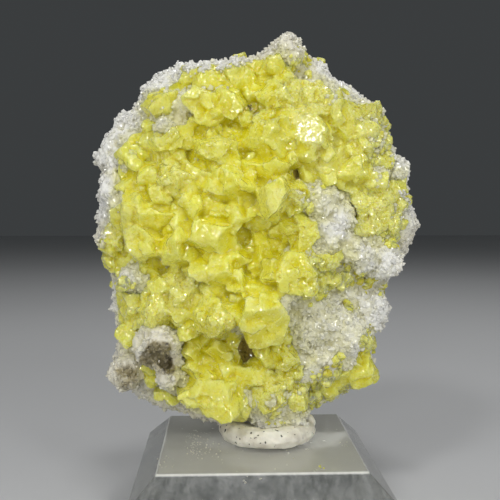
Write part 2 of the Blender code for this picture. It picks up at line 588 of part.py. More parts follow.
def main():
    clear_scene()
    parts = bpy.data.collections.new("sulfur_specimen")
    bpy.context.scene.collection.children.link(parts)
    sulfur = make_material("sulfur", SULFUR_YELLOW, 0.3, ior=1.96)
    rock_white = make_material("drusy_rock", ROCK_WHITE, 0.75)
    putty_white = make_material("mineral_putty", PUTTY_WHITE, 0.85)
    clear = make_material("clear_acrylic", CLEAR_GREY, 0.05, transmission=1.0, ior=1.49)
    rock_room = joined_rock("rock_room", GAP)
    build_rock(rock_white, parts)
    build_sulfur(rock_room, sulfur, parts)
    build_putty(rock_room, putty_white, parts)
    build_block(clear, parts)
    discard(rock_room)


main()
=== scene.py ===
import math

import bmesh
import bpy
import numpy as np
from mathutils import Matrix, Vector, kdtree


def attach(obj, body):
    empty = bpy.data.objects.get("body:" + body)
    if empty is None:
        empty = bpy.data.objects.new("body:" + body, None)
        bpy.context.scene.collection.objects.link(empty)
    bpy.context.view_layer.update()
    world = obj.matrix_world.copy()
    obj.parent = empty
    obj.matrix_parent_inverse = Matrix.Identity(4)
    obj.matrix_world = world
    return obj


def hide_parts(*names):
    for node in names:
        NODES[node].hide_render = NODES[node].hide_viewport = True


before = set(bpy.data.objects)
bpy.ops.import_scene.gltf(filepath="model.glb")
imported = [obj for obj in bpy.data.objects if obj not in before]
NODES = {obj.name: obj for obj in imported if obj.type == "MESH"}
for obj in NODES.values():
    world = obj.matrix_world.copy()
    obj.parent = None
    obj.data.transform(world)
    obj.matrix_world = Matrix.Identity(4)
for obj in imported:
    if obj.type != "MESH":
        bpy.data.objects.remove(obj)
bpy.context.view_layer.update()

MM = 0.001

# Camera: a 55 mm lens at the photograph's distance, turned slightly right and down
CAMERA_PLACE = (-0.0078, -0.1610, 0.0644)
CAMERA_TURN_RIGHT = math.radians(2.17)
CAMERA_TILT_DOWN = math.radians(3.3)
LENS_MM = 55.08
SENSOR_MM = 36.0

# Places are read on one upright plane and found on the specimen along the line of sight from EYE
EYE = (-7.8, -161.0, 64.4)
READING_Y = 2.0
SPOT_EDGE = 1.5                 # a spot has faded out at this many of its radii
FRONT_ENDS = 10.0               # how far back the spots reach
FRONT_FADE = 5.0                # length over which they fade there
BACK_DRUSE = 0.6                # how white the back is

# Studio, in metres
FLOOR_HALF = 1.5
FLOOR_DROP = 0.05 * MM          # a hair of air under the block, so that its foot stays clear
NEAREST_SEEN = 0.005
STUDIO_MIDDLE = (0.0, 0.0, 0.058)
SOFTBOX_DISTANCE = 0.56
KEY_LIGHT = 1                   # which softbox the mirroring faces reflect
WORLD_LIGHT = 0.056
# Softboxes round the specimen: degrees to the right of the front, degrees up, side and power
SOFTBOXES = [
    (-15, 13, 0.07, 0.28), (-30, 42, 0.08, 0.56), (28, 30, 0.08, 0.30), (8, 74, 0.10, 0.48),
    (-58, 14, 0.08, 0.25), (64, 18, 0.08, 0.25), (12, 6, 0.06, 0.12), (160, 55, 0.30, 0.60),
    (-20, 25, 0.50, 0.54), (30, 20, 0.50, 0.50),
]

# Skins and small crystals, in millimetres
SULFUR_VOXEL = 0.24
ROCK_VOXEL = 0.32
PUTTY_VOXEL = 0.28
COARSE_VOXEL = 0.7
FEATURE_STEP = 3                # every third point is enough to find how far a surface is
LAP_REACH = 2.4                 # how far the white crust reaches up the sides of the sulfur
LAP_UNDER = 0.5                 # how far under the sulfur's surface it stays
LAP_HIDDEN = 3.0                # how far behind it where there is no white crust
LAP_CLEAR = 0.6                 # no micro crystals this close to the sulfur
TINGE_REACH = 4.0               # how far from the sulfur the white crust is tinged yellow
TINGE_MOST = 0.9                # how much spots can add to the tinge or take from it
TRIANGLES_KEPT = 188000
HIDDEN_FACTOR = 20.0            # how much more a surface is thinned where the rock covers it
BLOCK_TOP = 14.3                # height of the block's top face
EASED_EDGE = 0.35               # width of the block's eased edges
FILL_REACH = 0.8                # how far the sulfur swells to fill its narrow gaps
FILL_UNDER = 0.45               # how much further it shrinks again
WELD = 0.001                    # points this close are one
CRYSTALLETS = 0.14              # small sulfur crystals sown on each square millimetre
STRETCH = (0.75, 1.25)          # how far each small crystal is stretched or squeezed along each axis
RARER = 2.2                     # how much rarer the large ones among them are
FULL_TURN = 6.283
BARE_GRAINS = 0.55              # share of the micro crystals where the rock is not white
CRUST_SEED = 11
CLUSTER_SEEDS = (50, 5)         # the first cluster's seed, and how much is added for each further one
# The pale chips are painted glints
CHIP = 0.3                      # size of the sulfur's pale and dark chips
CHIP_RISE = 0.12                # how much likelier they are where the crust is rough
SEED_SHIFT = (1.7, 2.3, 0.9)    # how far one seed moves a pattern
UPWARD = 0.3                    # crumbs lie on faces turned up at least this much

# Faces that mirror the key light
MIRROR_CORE = 0.9               # part of a spot that says where the face lies
MIRROR_FRONT = 1.0              # only what lies this close to the middle depth counts
MIRROR_CUT = 2.0                # how much is cut or filled at most
MIRROR_REACH = 2.5              # what lies deeper than this stays

# Floor of the cave: how far deeper the surface may lie, and how far it is brought forward at most
CAVE_REACH = 9.0
CAVE_FILL = 8.0

# Spots of the crust as x, z, radius and strength, read on the plane
ROUGH_SPOTS = [
    (11.0, 80.5, 4.5, 1.0), (12, 86, 5, 1.0), (24, 84.5, 4, 1.0), (26, 75, 4, 0.9),
    (21.5, 77, 3.5, 0.7), (25, 62, 7, 1.0), (8, 30, 5.0, 1.0), (-17.5, 70, 3.5, 0.9),
    (-8.6, 76.6, 4, 0.6), (-31, 57.5, 4, 0.9), (-16, 47, 4, 1.0), (-22, 41.6, 4.5, 0.8),
    (-8.6, 40.8, 4.5, 0.7), (4, 23, 6, 0.9), (15, 48, 6, 0.9), (8.2, 66.3, 3, 0.8), (10, 58, 3.5, 0.7),
    (1.5, 83, 3, 0.8), (7.5, 88, 4, 1.0), (-19.2, 81, 3, 0.9),
]
# Frosted places, which also carry painted glare and glints
FROST_AND_GLARE_SPOTS = [
    (11.0, 80.3, 3.0, 1.0), (9.0, 82.5, 2.0, 1.0), (12.6, 78.2, 1.8, 1.0), (8.4, 66.4, 1.8, 0.9),
    (-10.0, 66.7, 0.8, 0.7), (-11.0, 60.3, 0.7, 0.7), (4.3, 67.6, 1.2, 0.8), (-31.5, 58.5, 1.8, 0.9),
    (-19.2, 81, 2.4, 0.8), (-21.5, 74.5, 2.2, 0.7), (-25.5, 69, 2.0, 0.7), (24.5, 77, 2.2, 0.7),
    (6, 42, 1.4, 1.0), (-17, 70.5, 2.6, 0.5), (-8.0, 39.6, 2.4, 0.6), (-22.8, 43.4, 2.0, 0.7),
    (-18.0, 42.6, 1.6, 0.7), (3.0, 21.6, 1.8, 0.8), (8, 92, 3.0, 0.8), (14, 74, 2.4, 0.6),
    (26.5, 61, 4.5, 0.55), (20.5, 65, 3.2, 0.5), (28, 57, 3.2, 0.5), (-15.5, 48, 2.4, 0.6),
]
PALE_SPOTS = [
    (25, 62, 8, 1.0), (26, 82, 7, 1.0), (12, 88, 6, 0.9), (15, 75, 5, 0.7), (-16, 47, 4.5, 0.7),
    (-24, 42, 6, 0.5), (4, 22, 7, 0.5), (-27, 60, 7, 0.4), (-17, 70, 5, 0.5), (3, 66, 3.5, 0.6),
    (18, 47, 7, 0.4), (-9.8, 23.4, 6, 0.3), (-22, 82, 6, 0.4),
]
# Olive places: some are olive crystals, the rest painted shade in the crust's recesses and valleys
DEEP_SPOTS = [
    (1.0, 55.0, 5.5, 0.9), (-10.5, 34.0, 6.0, 0.8), (-2.0, 33.5, 4.0, 1.0), (7.6, 71.0, 2.4, 1.0),
    (-16.7, 64, 2.0, 0.6), (-6.0, 78.5, 1.6, 0.7), (7.5, 77, 1.8, 0.6), (18, 76, 1.6, 0.5),
    (-22.6, 50.8, 3.0, 0.5), (-31.3, 52.5, 2.5, 0.6), (-1.8, 85.3, 1.6, 0.9), (17.6, 27.8, 2.4, 0.6),
    (15.8, 55.3, 2.0, 0.4), (23.8, 45, 2.0, 0.4), (-14.5, 38, 3, 0.4),
]

# Spots of the rock
DRUSE_SPOTS = [
    (14.8, 65, 5.0, 1.0), (18, 41, 10, 1.0), (25, 53.5, 6, 1.0), (28.5, 72, 5, 1.0), (16, 56, 8, 0.9),
    (4, 17.5, 8, 1.0), (8, 42, 4, 1.0), (9, 36, 4, 1.0), (10, 30, 3.5, 0.9), (10.5, 66, 3, 0.9),
    (-32, 66, 5, 0.9), (-31, 80, 8, 0.9), (-22, 91, 9, 0.8), (18, 91, 7, 1.0), (30, 64, 5, 0.8),
    (25, 42, 4, 0.9), (-26, 48.5, 3.5, 0.9), (-30, 44, 3, 0.8), (-12, 94, 8, 0.7), (27, 80, 6, 1.0),
]
YELLOW_SPOTS = [
    (13, 49, 4, 1.0), (18, 49.5, 2.5, 0.9), (12.5, 47.5, 3, 0.9), (23, 48, 2, 0.5),
    (11.5, 67, 2.5, 0.5), (28.5, 59, 2.6, 0.8), (30.5, 66, 2, 0.5), (27.5, 46.5, 1.8, 0.6),
    (26, 78, 4, 0.7), (-28, 47, 2.5, 0.5), (14, 25, 4, 0.8), (9, 94.5, 3, 0.8), (24, 36, 2.4, 0.5),
    (20, 27, 4, 0.8), (4, 18, 2, 0.4), (-26, 74, 3, 0.4), (-14, 24, 2, 0.6), (20.5, 43, 1.6, 0.6),
]
# Earthy places; the strongest ones lie over the cave and paint its floor dark brown as painted shade
EARTH_AND_CAVE_SHADE_SPOTS = [
    (-20.5, 31.0, 3.6, 0.7), (-27.8, 27.6, 3.4, 0.8), (-16, 20, 8.0, 0.30), (-28, 68, 3.0, 0.4),
    (6, 99, 3.5, 0.3), (7.5, 90, 3.0, 0.4), (-25, 89, 3.0, 0.3), (-22.0, 33.4, 2.2, 1.2),
    (-20.0, 31.2, 1.8, 1.3), (-23.6, 31.4, 2.0, 1.0), (-20.0, 34.0, 1.6, 1.2), (-18.9, 29.4, 1.3, 1.4),
    (-27.0, 28.4, 1.6, 1.0), (-29.4, 28.6, 1.2, 0.9),
]
# White micro crystals that climb over the sulfur along the rim
RIM_SPOTS = [
    (-20.0, 90.2, 1.5, 1.0), (-17.0, 92.0, 1.5, 1.0), (-14.0, 93.1, 1.5, 1.0), (-11.0, 93.8, 1.5, 1.0),
    (-8.0, 94.2, 1.5, 1.0), (-5.0, 94.8, 1.4, 1.0), (-2.2, 95.6, 1.3, 1.0), (0.4, 96.4, 1.3, 0.9),
    (29.6, 74.0, 1.5, 0.8), (32.4, 62.0, 1.6, 0.8), (31.6, 67.0, 1.5, 0.8), (-33.4, 57.5, 1.2, 0.8),
    (-33.4, 61.0, 1.4, 0.9), (-33.2, 65.0, 1.8, 1.0), (-32.6, 69.0, 2.0, 1.0), (-31.6, 73.0, 1.8, 0.8),
]
BARE_SPOTS = [(-21.5, 33.0, 5.6, 1.0), (-27.6, 28.6, 4.6, 1.0)]
CLEAR_SPOTS = [
    (16, 37, 8, 1.0), (11, 40, 4, 1.0), (14.5, 65, 5, 0.8), (22, 53, 6, 0.6), (12, 46, 3, 0.6),
    (29, 72, 3, 0.5), (-26, 48.5, 3, 0.5), (6, 18, 6, 0.5), (-18, 20, 8, 0.7),
]
SHADE_SPOTS = [
    (-2.2, 33.4, 3.4, 1.0), (7.8, 71.2, 2.6, 1.0), (-1.8, 85.3, 1.5, 1.0), (-13, 33.5, 3.0, 0.5),
]
# Crystal faces that mirror the key light: x, z and radius
MIRROR_FACES = [(11.0, 80.3, 4.2), (-31.4, 58.6, 1.6), (9.4, 67.2, 1.4), (3.0, 21.6, 1.4)]
# Corners of crystals moved: x, z, radius, share, and millimetres along X and Z
NUDGED = [(-14.8, 19.4, 2.6, 1.0, 0.8, 1.8), (-10.4, 18.0, 1.8, 0.8, 0.3, 0.9)]
# Places of the rock pushed back: x, z, radius and depth in millimetres
SUNK = [(-28.0, 29.6, 0.9, 0.8)]
# Floor of the rock cave: x, z, radius, how far it is filled and how far it lies along Y
CAVE_FLOOR = [
    (-22.4, 33.6, 2.4, 1.0, -7.6), (-20.4, 32.0, 1.8, 1.0, -6.4), (-19.4, 30.0, 1.2, 1.0, -5.2),
]
# Crumbs lying on the block
DUST_SPOTS = [
    (-12.5, 13.0, 2.8, 0.45), (-8.6, 11.0, 2.0, 0.25), (-19.5, 9.0, 1.6, 0.3), (18.6, 12.4, 0.7, 0.9),
    (6.5, 10.9, 0.5, 0.6), (0.0, 10.0, 9.0, 0.02), (-2.0, 4.5, 1.0, 0.4),
]
CRUMB_SPOTS = [(13.9, 7.75, 0.5, 1.0)]

# Colours, as linear red, green and blue
SULFUR_BODY = (0.86, 0.835, 0.13)
# Painted shade: the colour the sulfur deepens to in its hollows
SULFUR_HOLLOW_SHADE = (0.84, 0.76, 0.008)
SULFUR_OLIVE = (0.66, 0.59, 0.008)
# Painted shade in the gaps between crystals
SULFUR_GAP_SHADE = (0.50, 0.43, 0.01)
# Painted shade along the creases between crystals
SULFUR_CREASE_SHADE = (0.66, 0.55, 0.004)
# Pale patches of the sulfur, also laid on its edges as a painted highlight
SULFUR_PALE = (0.93, 0.91, 0.29)
# Frosted sulfur, also used for painted glints
SULFUR_FROST_AND_GLINT = (0.97, 0.955, 0.46)
SULFUR_GLARE = (0.99, 0.99, 0.86)
DRUSE_WHITE = (0.96, 0.945, 0.87)
DRUSE_GREY = (0.84, 0.80, 0.66)
DRUSE_CLEAR = (0.83, 0.80, 0.53)
DRUSE_YELLOW = (0.78, 0.75, 0.34)
# Painted shade in the rock's hollows, tinged yellow as painted light thrown from the sulfur
HOLLOW_SHADE_AND_BOUNCE = (0.62, 0.58, 0.26)
EARTH_GREY = (0.56, 0.49, 0.31)
EARTH_BROWN = (0.20, 0.16, 0.06)
PUTTY_WHITE = (0.95, 0.92, 0.80)
PUTTY_SHADE = (0.60, 0.55, 0.44)
# Hazy top of the block, painted paler as a reflection of the bright surroundings
ACRYLIC_TOP_HAZE_AND_REFLECTION = (0.95, 0.94, 0.87)
ACRYLIC_SIDE = (0.96, 0.97, 0.94)
ACRYLIC_SIDE_DARK = (0.60, 0.62, 0.60)
# Painted highlight along the block's upper edges
ACRYLIC_EDGE_HIGHLIGHT = (0.97, 0.96, 0.90)
CAVE_OLIVE = (0.36, 0.28, 0.05)
# Painted shade in pits
PIT_SHADE = (0.06, 0.05, 0.035)
SULFUR_DIRT = (0.25, 0.2, 0.04)
FLOOR_DARK = (0.60, 0.605, 0.61)
FLOOR_PALE = (0.64, 0.645, 0.65)
WORLD_GREY = (0.78, 0.84, 0.87)


# Node helpers

def feed(tree, node, inputs):
    """Set or link the inputs of a node."""
    for name, value in inputs.items():
        if isinstance(value, bpy.types.NodeSocket):
            tree.links.new(value, node.inputs[name])
        else:
            node.inputs[name].default_value = value


def add_node(tree, kind, inputs=None, **settings):
    """A node with its settings made and its inputs set or linked."""
    node = tree.nodes.new(kind)
    for name, value in settings.items():
        setattr(node, name, value)
    feed(tree, node, inputs or {})
    return node


def reckon(tree, operation, first, second=0.0, clamp=False):
    """The result of one sum of numbers."""
    node = add_node(tree, "ShaderNodeMath", {0: first, 1: second}, operation=operation, use_clamp=clamp)
    return node.outputs[0]


def times(tree, first, second):
    """One number times another."""
    return reckon(tree, "MULTIPLY", first, second)


def reckon_vector(tree, operation, first, second=(0.0, 0.0, 0.0)):
    """The result of one sum of vectors."""
    node = add_node(tree, "ShaderNodeVectorMath", {0: first, 1: second}, operation=operation)
    return node.outputs["Value" if operation in ("DOT_PRODUCT", "LENGTH", "DISTANCE") else "Vector"]


def scaled(tree, vector, factor):
    """A vector times one number."""
    node = add_node(tree, "ShaderNodeVectorMath", {0: vector, "Scale": factor}, operation="SCALE")
    return node.outputs["Vector"]


def spread(tree, value, low, high, start=0.0, end=1.0):
    """A value carried from one range to another, held at both ends."""
    inputs = {"Value": value, "From Min": low, "From Max": high, "To Min": start, "To Max": end}
    return add_node(tree, "ShaderNodeMapRange", inputs, clamp=True).outputs["Result"]


def small_cells(tree, place, cell, seed):
    """Cells of one size: the place in their units, and their texture node."""
    shift = tuple(seed * step for step in SEED_SHIFT)
    shifted = reckon_vector(tree, "ADD", scaled(tree, place, 1.0 / cell), shift)
    inputs = {"Vector": shifted, "Scale": 1.0}
    return shifted, add_node(tree, "ShaderNodeTexVoronoi", inputs, voronoi_dimensions="3D")


def cell_lean(tree, cells):
    """A direction for each small cell, between -0.5 and 0.5 along each axis."""
    return reckon_vector(tree, "SUBTRACT", cells.outputs["Color"], (0.5, 0.5, 0.5))


def tilted_cells(tree, place, cell, seed):
    """Height of flat grains, each tilted its own way, in the units of place."""
    shifted, cells = small_cells(tree, place, cell, seed)
    across = reckon_vector(tree, "SUBTRACT", shifted, cells.outputs["Position"])
    height = reckon_vector(tree, "DOT_PRODUCT", cell_lean(tree, cells), across)
    return times(tree, height, cell)


def lumps(tree, place, size, detail=2.0, roughness=0.5):
    """Soft noise between about -0.5 and 0.5 whose lumps are this large."""
    near = scaled(tree, place, 1.0 / size)
    inputs = {"Vector": near, "Scale": 1.0, "Detail": detail, "Roughness": roughness}
    noise = add_node(tree, "ShaderNodeTexNoise", inputs, noise_dimensions="3D")
    return reckon(tree, "SUBTRACT", noise.outputs[0], 0.5)


def blend_colour(tree, share, first, second):
    """One colour passing into another."""
    first, second = [
        value if isinstance(value, bpy.types.NodeSocket) else (*value, 1.0) for value in (first, second)
    ]
    node = add_node(tree, "ShaderNodeMix", {0: share, 6: first, 7: second}, data_type="RGBA")
    return node.outputs[2]


def laid_over(tree, colour, layers):
    """A colour with others over it: what steers each, where it starts and is full, its share and itself."""
    for steer, start, full, share, tone in layers:
        colour = blend_colour(tree, spread(tree, steer, start, full, 0.0, share), colour, tone)
    return colour


# Mesh helpers

def link_object(name, mesh):
    """A new object in the scene."""
    made = bpy.data.objects.new(name, mesh)
    bpy.context.scene.collection.objects.link(made)
    return made


def discard(target):
    """Remove a helper object and its mesh."""
    mesh = target.data
    bpy.data.objects.remove(target)
    bpy.data.meshes.remove(mesh)


def bake(target):
    """Turn an object's modifiers into plain mesh."""
    outcome = bpy.data.meshes.new_from_object(target.evaluated_get(bpy.context.evaluated_depsgraph_get()))
    target.modifiers.clear()
    used = target.data
    target.data = outcome
    bpy.data.meshes.remove(used)


def cad_copy(name, *nodes):
    """A whole, closed copy of one or more CAD nodes."""
    gathered = bmesh.new()
    for node in nodes:
        gathered.from_mesh(NODES[node].data)
    bmesh.ops.remove_doubles(gathered, verts=gathered.verts, dist=WELD * MM)
    mesh = bpy.data.meshes.new(name)
    gathered.to_mesh(mesh)
    gathered.free()
    return link_object(name, mesh)


def remesh(target, voxel_mm):
    """Melt everything in an object into one even skin."""
    step = target.modifiers.new("skin", "REMESH")
    step.mode = "VOXEL"
    step.voxel_size = voxel_mm * MM
    bake(target)


def triangles_in(mesh):
    """How many triangles a mesh comes to."""
    return sum(len(face.vertices) - 2 for face in mesh.polygons)


def thin(target, hidden_back=None):
    """Bring an object under the triangles kept, more where it is turned to the rock that covers it."""
    count = triangles_in(target.data)
    if count <= TRIANGLES_KEPT:
        return
    if hidden_back is not None:
        group = target.vertex_groups.new(name="hidden")
        hidden = np.flatnonzero(normals_of(target.data)[:, 1] > hidden_back)
        group.add(hidden.tolist(), 1.0, "REPLACE")
        step = target.modifiers.new("thin_hidden", "DECIMATE")
        step.ratio = TRIANGLES_KEPT / count
        step.vertex_group = "hidden"
        step.vertex_group_factor = HIDDEN_FACTOR
        bake(target)
        target.vertex_groups.clear()
        count = triangles_in(target.data)
    if count > TRIANGLES_KEPT:
        step = target.modifiers.new("thin", "DECIMATE")
        step.ratio = TRIANGLES_KEPT / count
        bake(target)


def join_forms(target, *others):
    """Add the meshes of other objects to an object, and remove those objects."""
    gathered = bmesh.new()
    for form in (target, *others):
        gathered.from_mesh(form.data)
    gathered.to_mesh(target.data)
    gathered.free()
    for form in others:
        discard(form)


def points_of(mesh):
    """Every point of a mesh, in millimetres."""
    flat = np.empty(len(mesh.vertices) * 3, np.float32)
    mesh.vertices.foreach_get("co", flat)
    return flat.reshape(-1, 3) / MM


def move_points(mesh, points):
    """Put every point of a mesh where it is wanted, in millimetres."""
    mesh.vertices.foreach_set("co", (points * MM).astype(np.float32).ravel())
    mesh.update()


def normals_of(mesh):
    """Which way each point of a mesh faces."""
    flat = np.empty(len(mesh.vertices) * 3, np.float32)
    mesh.vertex_normals.foreach_get("vector", flat)
    return flat.reshape(-1, 3)


def store(mesh, name, amount):
    """Keep one number a point under a name."""
    layer = mesh.attributes.get(name) or mesh.attributes.new(name, "FLOAT", "POINT")
    layer.data.foreach_set("value", np.asarray(amount, np.float32))


def forget(mesh, name):
    """Drop what is kept under a name."""
    layer = mesh.attributes.get(name)
    if layer:
        mesh.attributes.remove(layer)


def on_front(points):
    """One on the front half of the specimen, passing to nothing on its back."""
    return np.clip((FRONT_ENDS - points[:, 1]) / FRONT_FADE, 0.0, 1.0)


def amount_in(points, spots):
    """How far each point lies in the spots, carried to the surface along the line of sight."""
    share = (READING_Y - EYE[1]) / (points[:, 1] - EYE[1])
    across = EYE[0] + (points[:, 0] - EYE[0]) * share
    up = EYE[2] + (points[:, 2] - EYE[2]) * share
    amount = np.zeros(len(points), np.float32)
    for x, z, radius, strength in spots:
        nearness = np.clip(SPOT_EDGE - np.hypot(across - x, up - z) / radius, 0.0, 1.0)
        amount = np.maximum(amount, strength * nearness * nearness * (3 - 2 * nearness))
    return amount * on_front(points)


def mark(mesh, name, spots):
    """Keep how far each point lies in the spots under a name."""
    store(mesh, name, amount_in(points_of(mesh), spots))


def sink(mesh, spots):
    """Push a skin back where the spots lie, each as deep as its last number says."""
    points = points_of(mesh)
    points[:, 1] += amount_in(points, spots)
    move_points(mesh, points)


def nudge(mesh, spots):
    """Move parts of a skin: x, z, radius and share of every spot, then how far it goes along X and Z."""
    points = points_of(mesh)
    for x, z, radius, share, along, up in spots:
        points += np.outer(amount_in(points, [(x, z, radius, share)]), (along, 0.0, up))
    move_points(mesh, points)


def softbox_place(around, up):
    """Where a softbox stands, in metres."""
    turn, rise = math.radians(around), math.radians(up)
    way = Vector((math.sin(turn) * math.cos(rise), -math.cos(turn) * math.cos(rise), math.sin(rise)))
    return Vector(STUDIO_MIDDLE) + way * SOFTBOX_DISTANCE


def cut_mirrors(mesh, faces):
    """Flatten places, given as x, z and radius, into faces that mirror the key light, and mark them."""
    points = points_of(mesh)
    lamp = np.array(softbox_place(*SOFTBOXES[KEY_LIGHT][:2])) / MM
    glare = np.zeros(len(points))
    for x, z, radius in faces:
        near = amount_in(points, [(x, z, radius, 1.0)])
        inside = points[near > MIRROR_CORE]
        if not len(inside):
            continue
        middle = inside[inside[:, 1] < np.median(inside[:, 1]) + MIRROR_FRONT].mean(axis=0)
        ways = [(target - middle) / np.linalg.norm(target - middle) for target in (np.array(EYE), lamp)]
        facing = (ways[0] + ways[1]) / np.linalg.norm(ways[0] + ways[1])
        height = (points - middle) @ facing
        near = near * (height > -MIRROR_REACH)
        points -= np.outer(near * np.clip(height, -MIRROR_CUT, MIRROR_CUT), facing)
        glare = np.maximum(glare, near)
    move_points(mesh, points)
    store(mesh, "glare", glare)


def fill_cave(mesh, floors):
    """Bring whatever lies deeper than the floors of a cave forward to them."""
    points = points_of(mesh)
    for x, z, radius, share, level in floors:
        near = amount_in(points, [(x, z, radius, share)]) * (points[:, 1] < level + CAVE_REACH)
        points[:, 1] -= near * np.clip(points[:, 1] - level, 0.0, CAVE_FILL)
    move_points(mesh, points)


def distance_to(mesh, other):
    """How far each point of a mesh lies from another mesh, in millimetres."""
    known = points_of(other)[::FEATURE_STEP]
    tree = kdtree.KDTree(len(known))
    for number, point in enumerate(known):
        tree.insert(point, number)
    tree.balance()
    return np.array([tree.find(point)[2] for point in points_of(mesh)])


# Geometry Nodes

def new_modifier_tree(name, inputs):
    """A Geometry Nodes tree with a geometry in and out, and inputs with a default or of a named kind."""
    tree = bpy.data.node_groups.new(name, "GeometryNodeTree")
    tree.interface.new_socket("Geometry", in_out="INPUT", socket_type="NodeSocketGeometry")
    kinds = {float: "NodeSocketFloat", int: "NodeSocketInt"}
    for label, value in inputs.items():
        kind = kinds.get(type(value), value)
        socket = tree.interface.new_socket(label, in_out="INPUT", socket_type=kind)
        if kind != value:
            socket.default_value = value
    tree.interface.new_socket("Geometry", in_out="OUTPUT", socket_type="NodeSocketGeometry")
    return tree, tree.nodes.new("NodeGroupInput"), tree.nodes.new("NodeGroupOutput")


def attribute_in(tree, name, kind="FLOAT"):
    """What is stored on a geometry under a name."""
    return add_node(tree, "GeometryNodeInputNamedAttribute", {"Name": name}, data_type=kind).outputs[0]


def place_and_normal(tree):
    """Where a point lies and which way it faces."""
    place = add_node(tree, "GeometryNodeInputPosition").outputs[0]
    return place, add_node(tree, "GeometryNodeInputNormal").outputs[0]


def end_moved(tree, given, result, offset):
    """End a tree by moving every point of its geometry."""
    moved = add_node(tree, "GeometryNodeSetPosition", {
        "Geometry": given.outputs["Geometry"], "Offset": offset,
    })
    tree.links.new(moved.outputs[0], result.inputs[0])
    return tree


def chance_of(tree, given, low, high):
    """A vector for each point between two bounds."""
    inputs = {"Min": (low,) * 3, "Max": (high,) * 3, "Seed": given.outputs["Seed"]}
    return add_node(tree, "FunctionNodeRandomValue", inputs, data_type="FLOAT_VECTOR").outputs[0]


def run_tree(target, tree, values):
    """Put a Geometry Nodes tree on an object with these inputs and keep the outcome as plain mesh."""
    step = target.modifiers.new(tree.name, "NODES")
    step.node_group = tree
    for item in tree.interface.items_tree:
        if item.item_type == "SOCKET" and item.in_out == "INPUT" and item.name in values:
            step[item.identifier] = values[item.name]
    bake(target)


def facet_tree():
    """Flattens a skin into slightly tilted facets of about one size, rougher where the mark says so."""
    tree, given, result = new_modifier_tree("cut_facets", {
        "Facet mm": 2.5, "Tilt": 0.15, "Strength": 0.8, "Calm strength": 0.8, "Limit mm": 0.6, "Seed": 1,
    })
    place = add_node(tree, "GeometryNodeInputPosition").outputs[0]
    area = times(tree, given.outputs["Facet mm"], given.outputs["Facet mm"])
    sown = add_node(tree, "GeometryNodeDistributePointsOnFaces", {
        "Mesh": given.outputs["Geometry"], "Density": reckon(tree, "DIVIDE", 1.0 / MM ** 2, area),
        "Seed": given.outputs["Seed"],
    })
    chance = chance_of(tree, given, -1.0, 1.0)
    tilt = scaled(tree, chance, given.outputs["Tilt"])
    leaning = reckon_vector(tree, "ADD", sown.outputs["Normal"], tilt)
    stored = add_node(tree, "GeometryNodeStoreNamedAttribute", {
        "Geometry": sown.outputs["Points"], "Name": "plane",
        "Value": reckon_vector(tree, "NORMALIZE", leaning),
    }, data_type="FLOAT_VECTOR", domain="POINT").outputs["Geometry"]
    nearest = add_node(tree, "GeometryNodeSampleNearest", {0: stored, 1: place}, domain="POINT").outputs[0]
    middle, facing = [
        add_node(tree, "GeometryNodeSampleIndex", {
            "Geometry": stored, "Value": value, "Index": nearest,
        }, data_type="FLOAT_VECTOR", domain="POINT").outputs[0]
        for value in (place, attribute_in(tree, "plane", "FLOAT_VECTOR"))
    ]
    above = reckon_vector(tree, "DOT_PRODUCT", reckon_vector(tree, "SUBTRACT", place, middle), facing)
    rough = attribute_in(tree, "rough")
    strength = spread(tree, rough, 0.0, 1.0, given.outputs["Calm strength"], given.outputs["Strength"])
    limit = times(tree, given.outputs["Limit mm"], MM)
    drop = reckon(tree, "MINIMUM", times(tree, above, strength), limit)
    drop = reckon(tree, "MAXIMUM", drop, times(tree, limit, -1.0))
    return end_moved(tree, given, result, scaled(tree, facing, times(tree, drop, -1.0)))


def swell_tree():
    """Lifts a skin by soft noise of two sizes."""
    tree, given, result = new_modifier_tree("swells", {
        "Broad mm": 6.0, "Broad height mm": 0.4, "Fine mm": 1.5, "Fine height mm": 0.15,
    })
    place, normal = place_and_normal(tree)
    heights = []
    for size, height in (("Broad mm", "Broad height mm"), ("Fine mm", "Fine height mm")):
        near = scaled(tree, place, reckon(tree, "DIVIDE", 1.0 / MM, given.outputs[size]))
        heights.append(times(tree, lumps(tree, near, 1.0), given.outputs[height]))
    total = times(tree, reckon(tree, "ADD", heights[0], heights[1]), 2.0 * MM)
    return end_moved(tree, given, result, scaled(tree, normal, total))


def warp_tree():
    """Bends a skin by soft noise in every direction, so that straight edges wander."""
    tree, given, result = new_modifier_tree("warp", {"Size mm": 3.0, "Reach mm": 0.4})
    place = add_node(tree, "GeometryNodeInputPosition").outputs[0]
    near = scaled(tree, place, reckon(tree, "DIVIDE", 1.0 / MM, given.outputs["Size mm"]))
    inputs = {"Vector": near, "Scale": 1.0, "Detail": 1.5}
    noise = add_node(tree, "ShaderNodeTexNoise", inputs, noise_dimensions="3D")
    push = reckon_vector(tree, "SUBTRACT", noise.outputs[1], (0.5, 0.5, 0.5))
    reach = times(tree, given.outputs["Reach mm"], 3.0 * MM)
    return end_moved(tree, given, result, scaled(tree, push, reach))


def growth_tree():
    """Raises a skin in thin curved steps, as crystals grow."""
    tree, given, result = new_modifier_tree("growth_steps", {
        "Size mm": 5.0, "Steps": 9.0, "Height mm": 0.12,
    })
    place, normal = place_and_normal(tree)
    near = scaled(tree, place, reckon(tree, "DIVIDE", 1.0 / MM, given.outputs["Size mm"]))
    level = times(tree, lumps(tree, near, 1.0, 1.0), given.outputs["Steps"])
    tread = reckon(tree, "SUBTRACT", reckon(tree, "FRACT", level), 0.5)
    height = times(tree, tread, given.outputs["Height mm"])
    return end_moved(tree, given, result, scaled(tree, normal, times(tree, height, MM)))


def puff_tree():
    """Moves a skin outward, or inward below zero."""
    tree, given, result = new_modifier_tree("puff", {"Out mm": 1.0})
    normal = add_node(tree, "GeometryNodeInputNormal").outputs[0]
    offset = scaled(tree, normal, times(tree, given.outputs["Out mm"], MM))
    return end_moved(tree, given, result, offset)


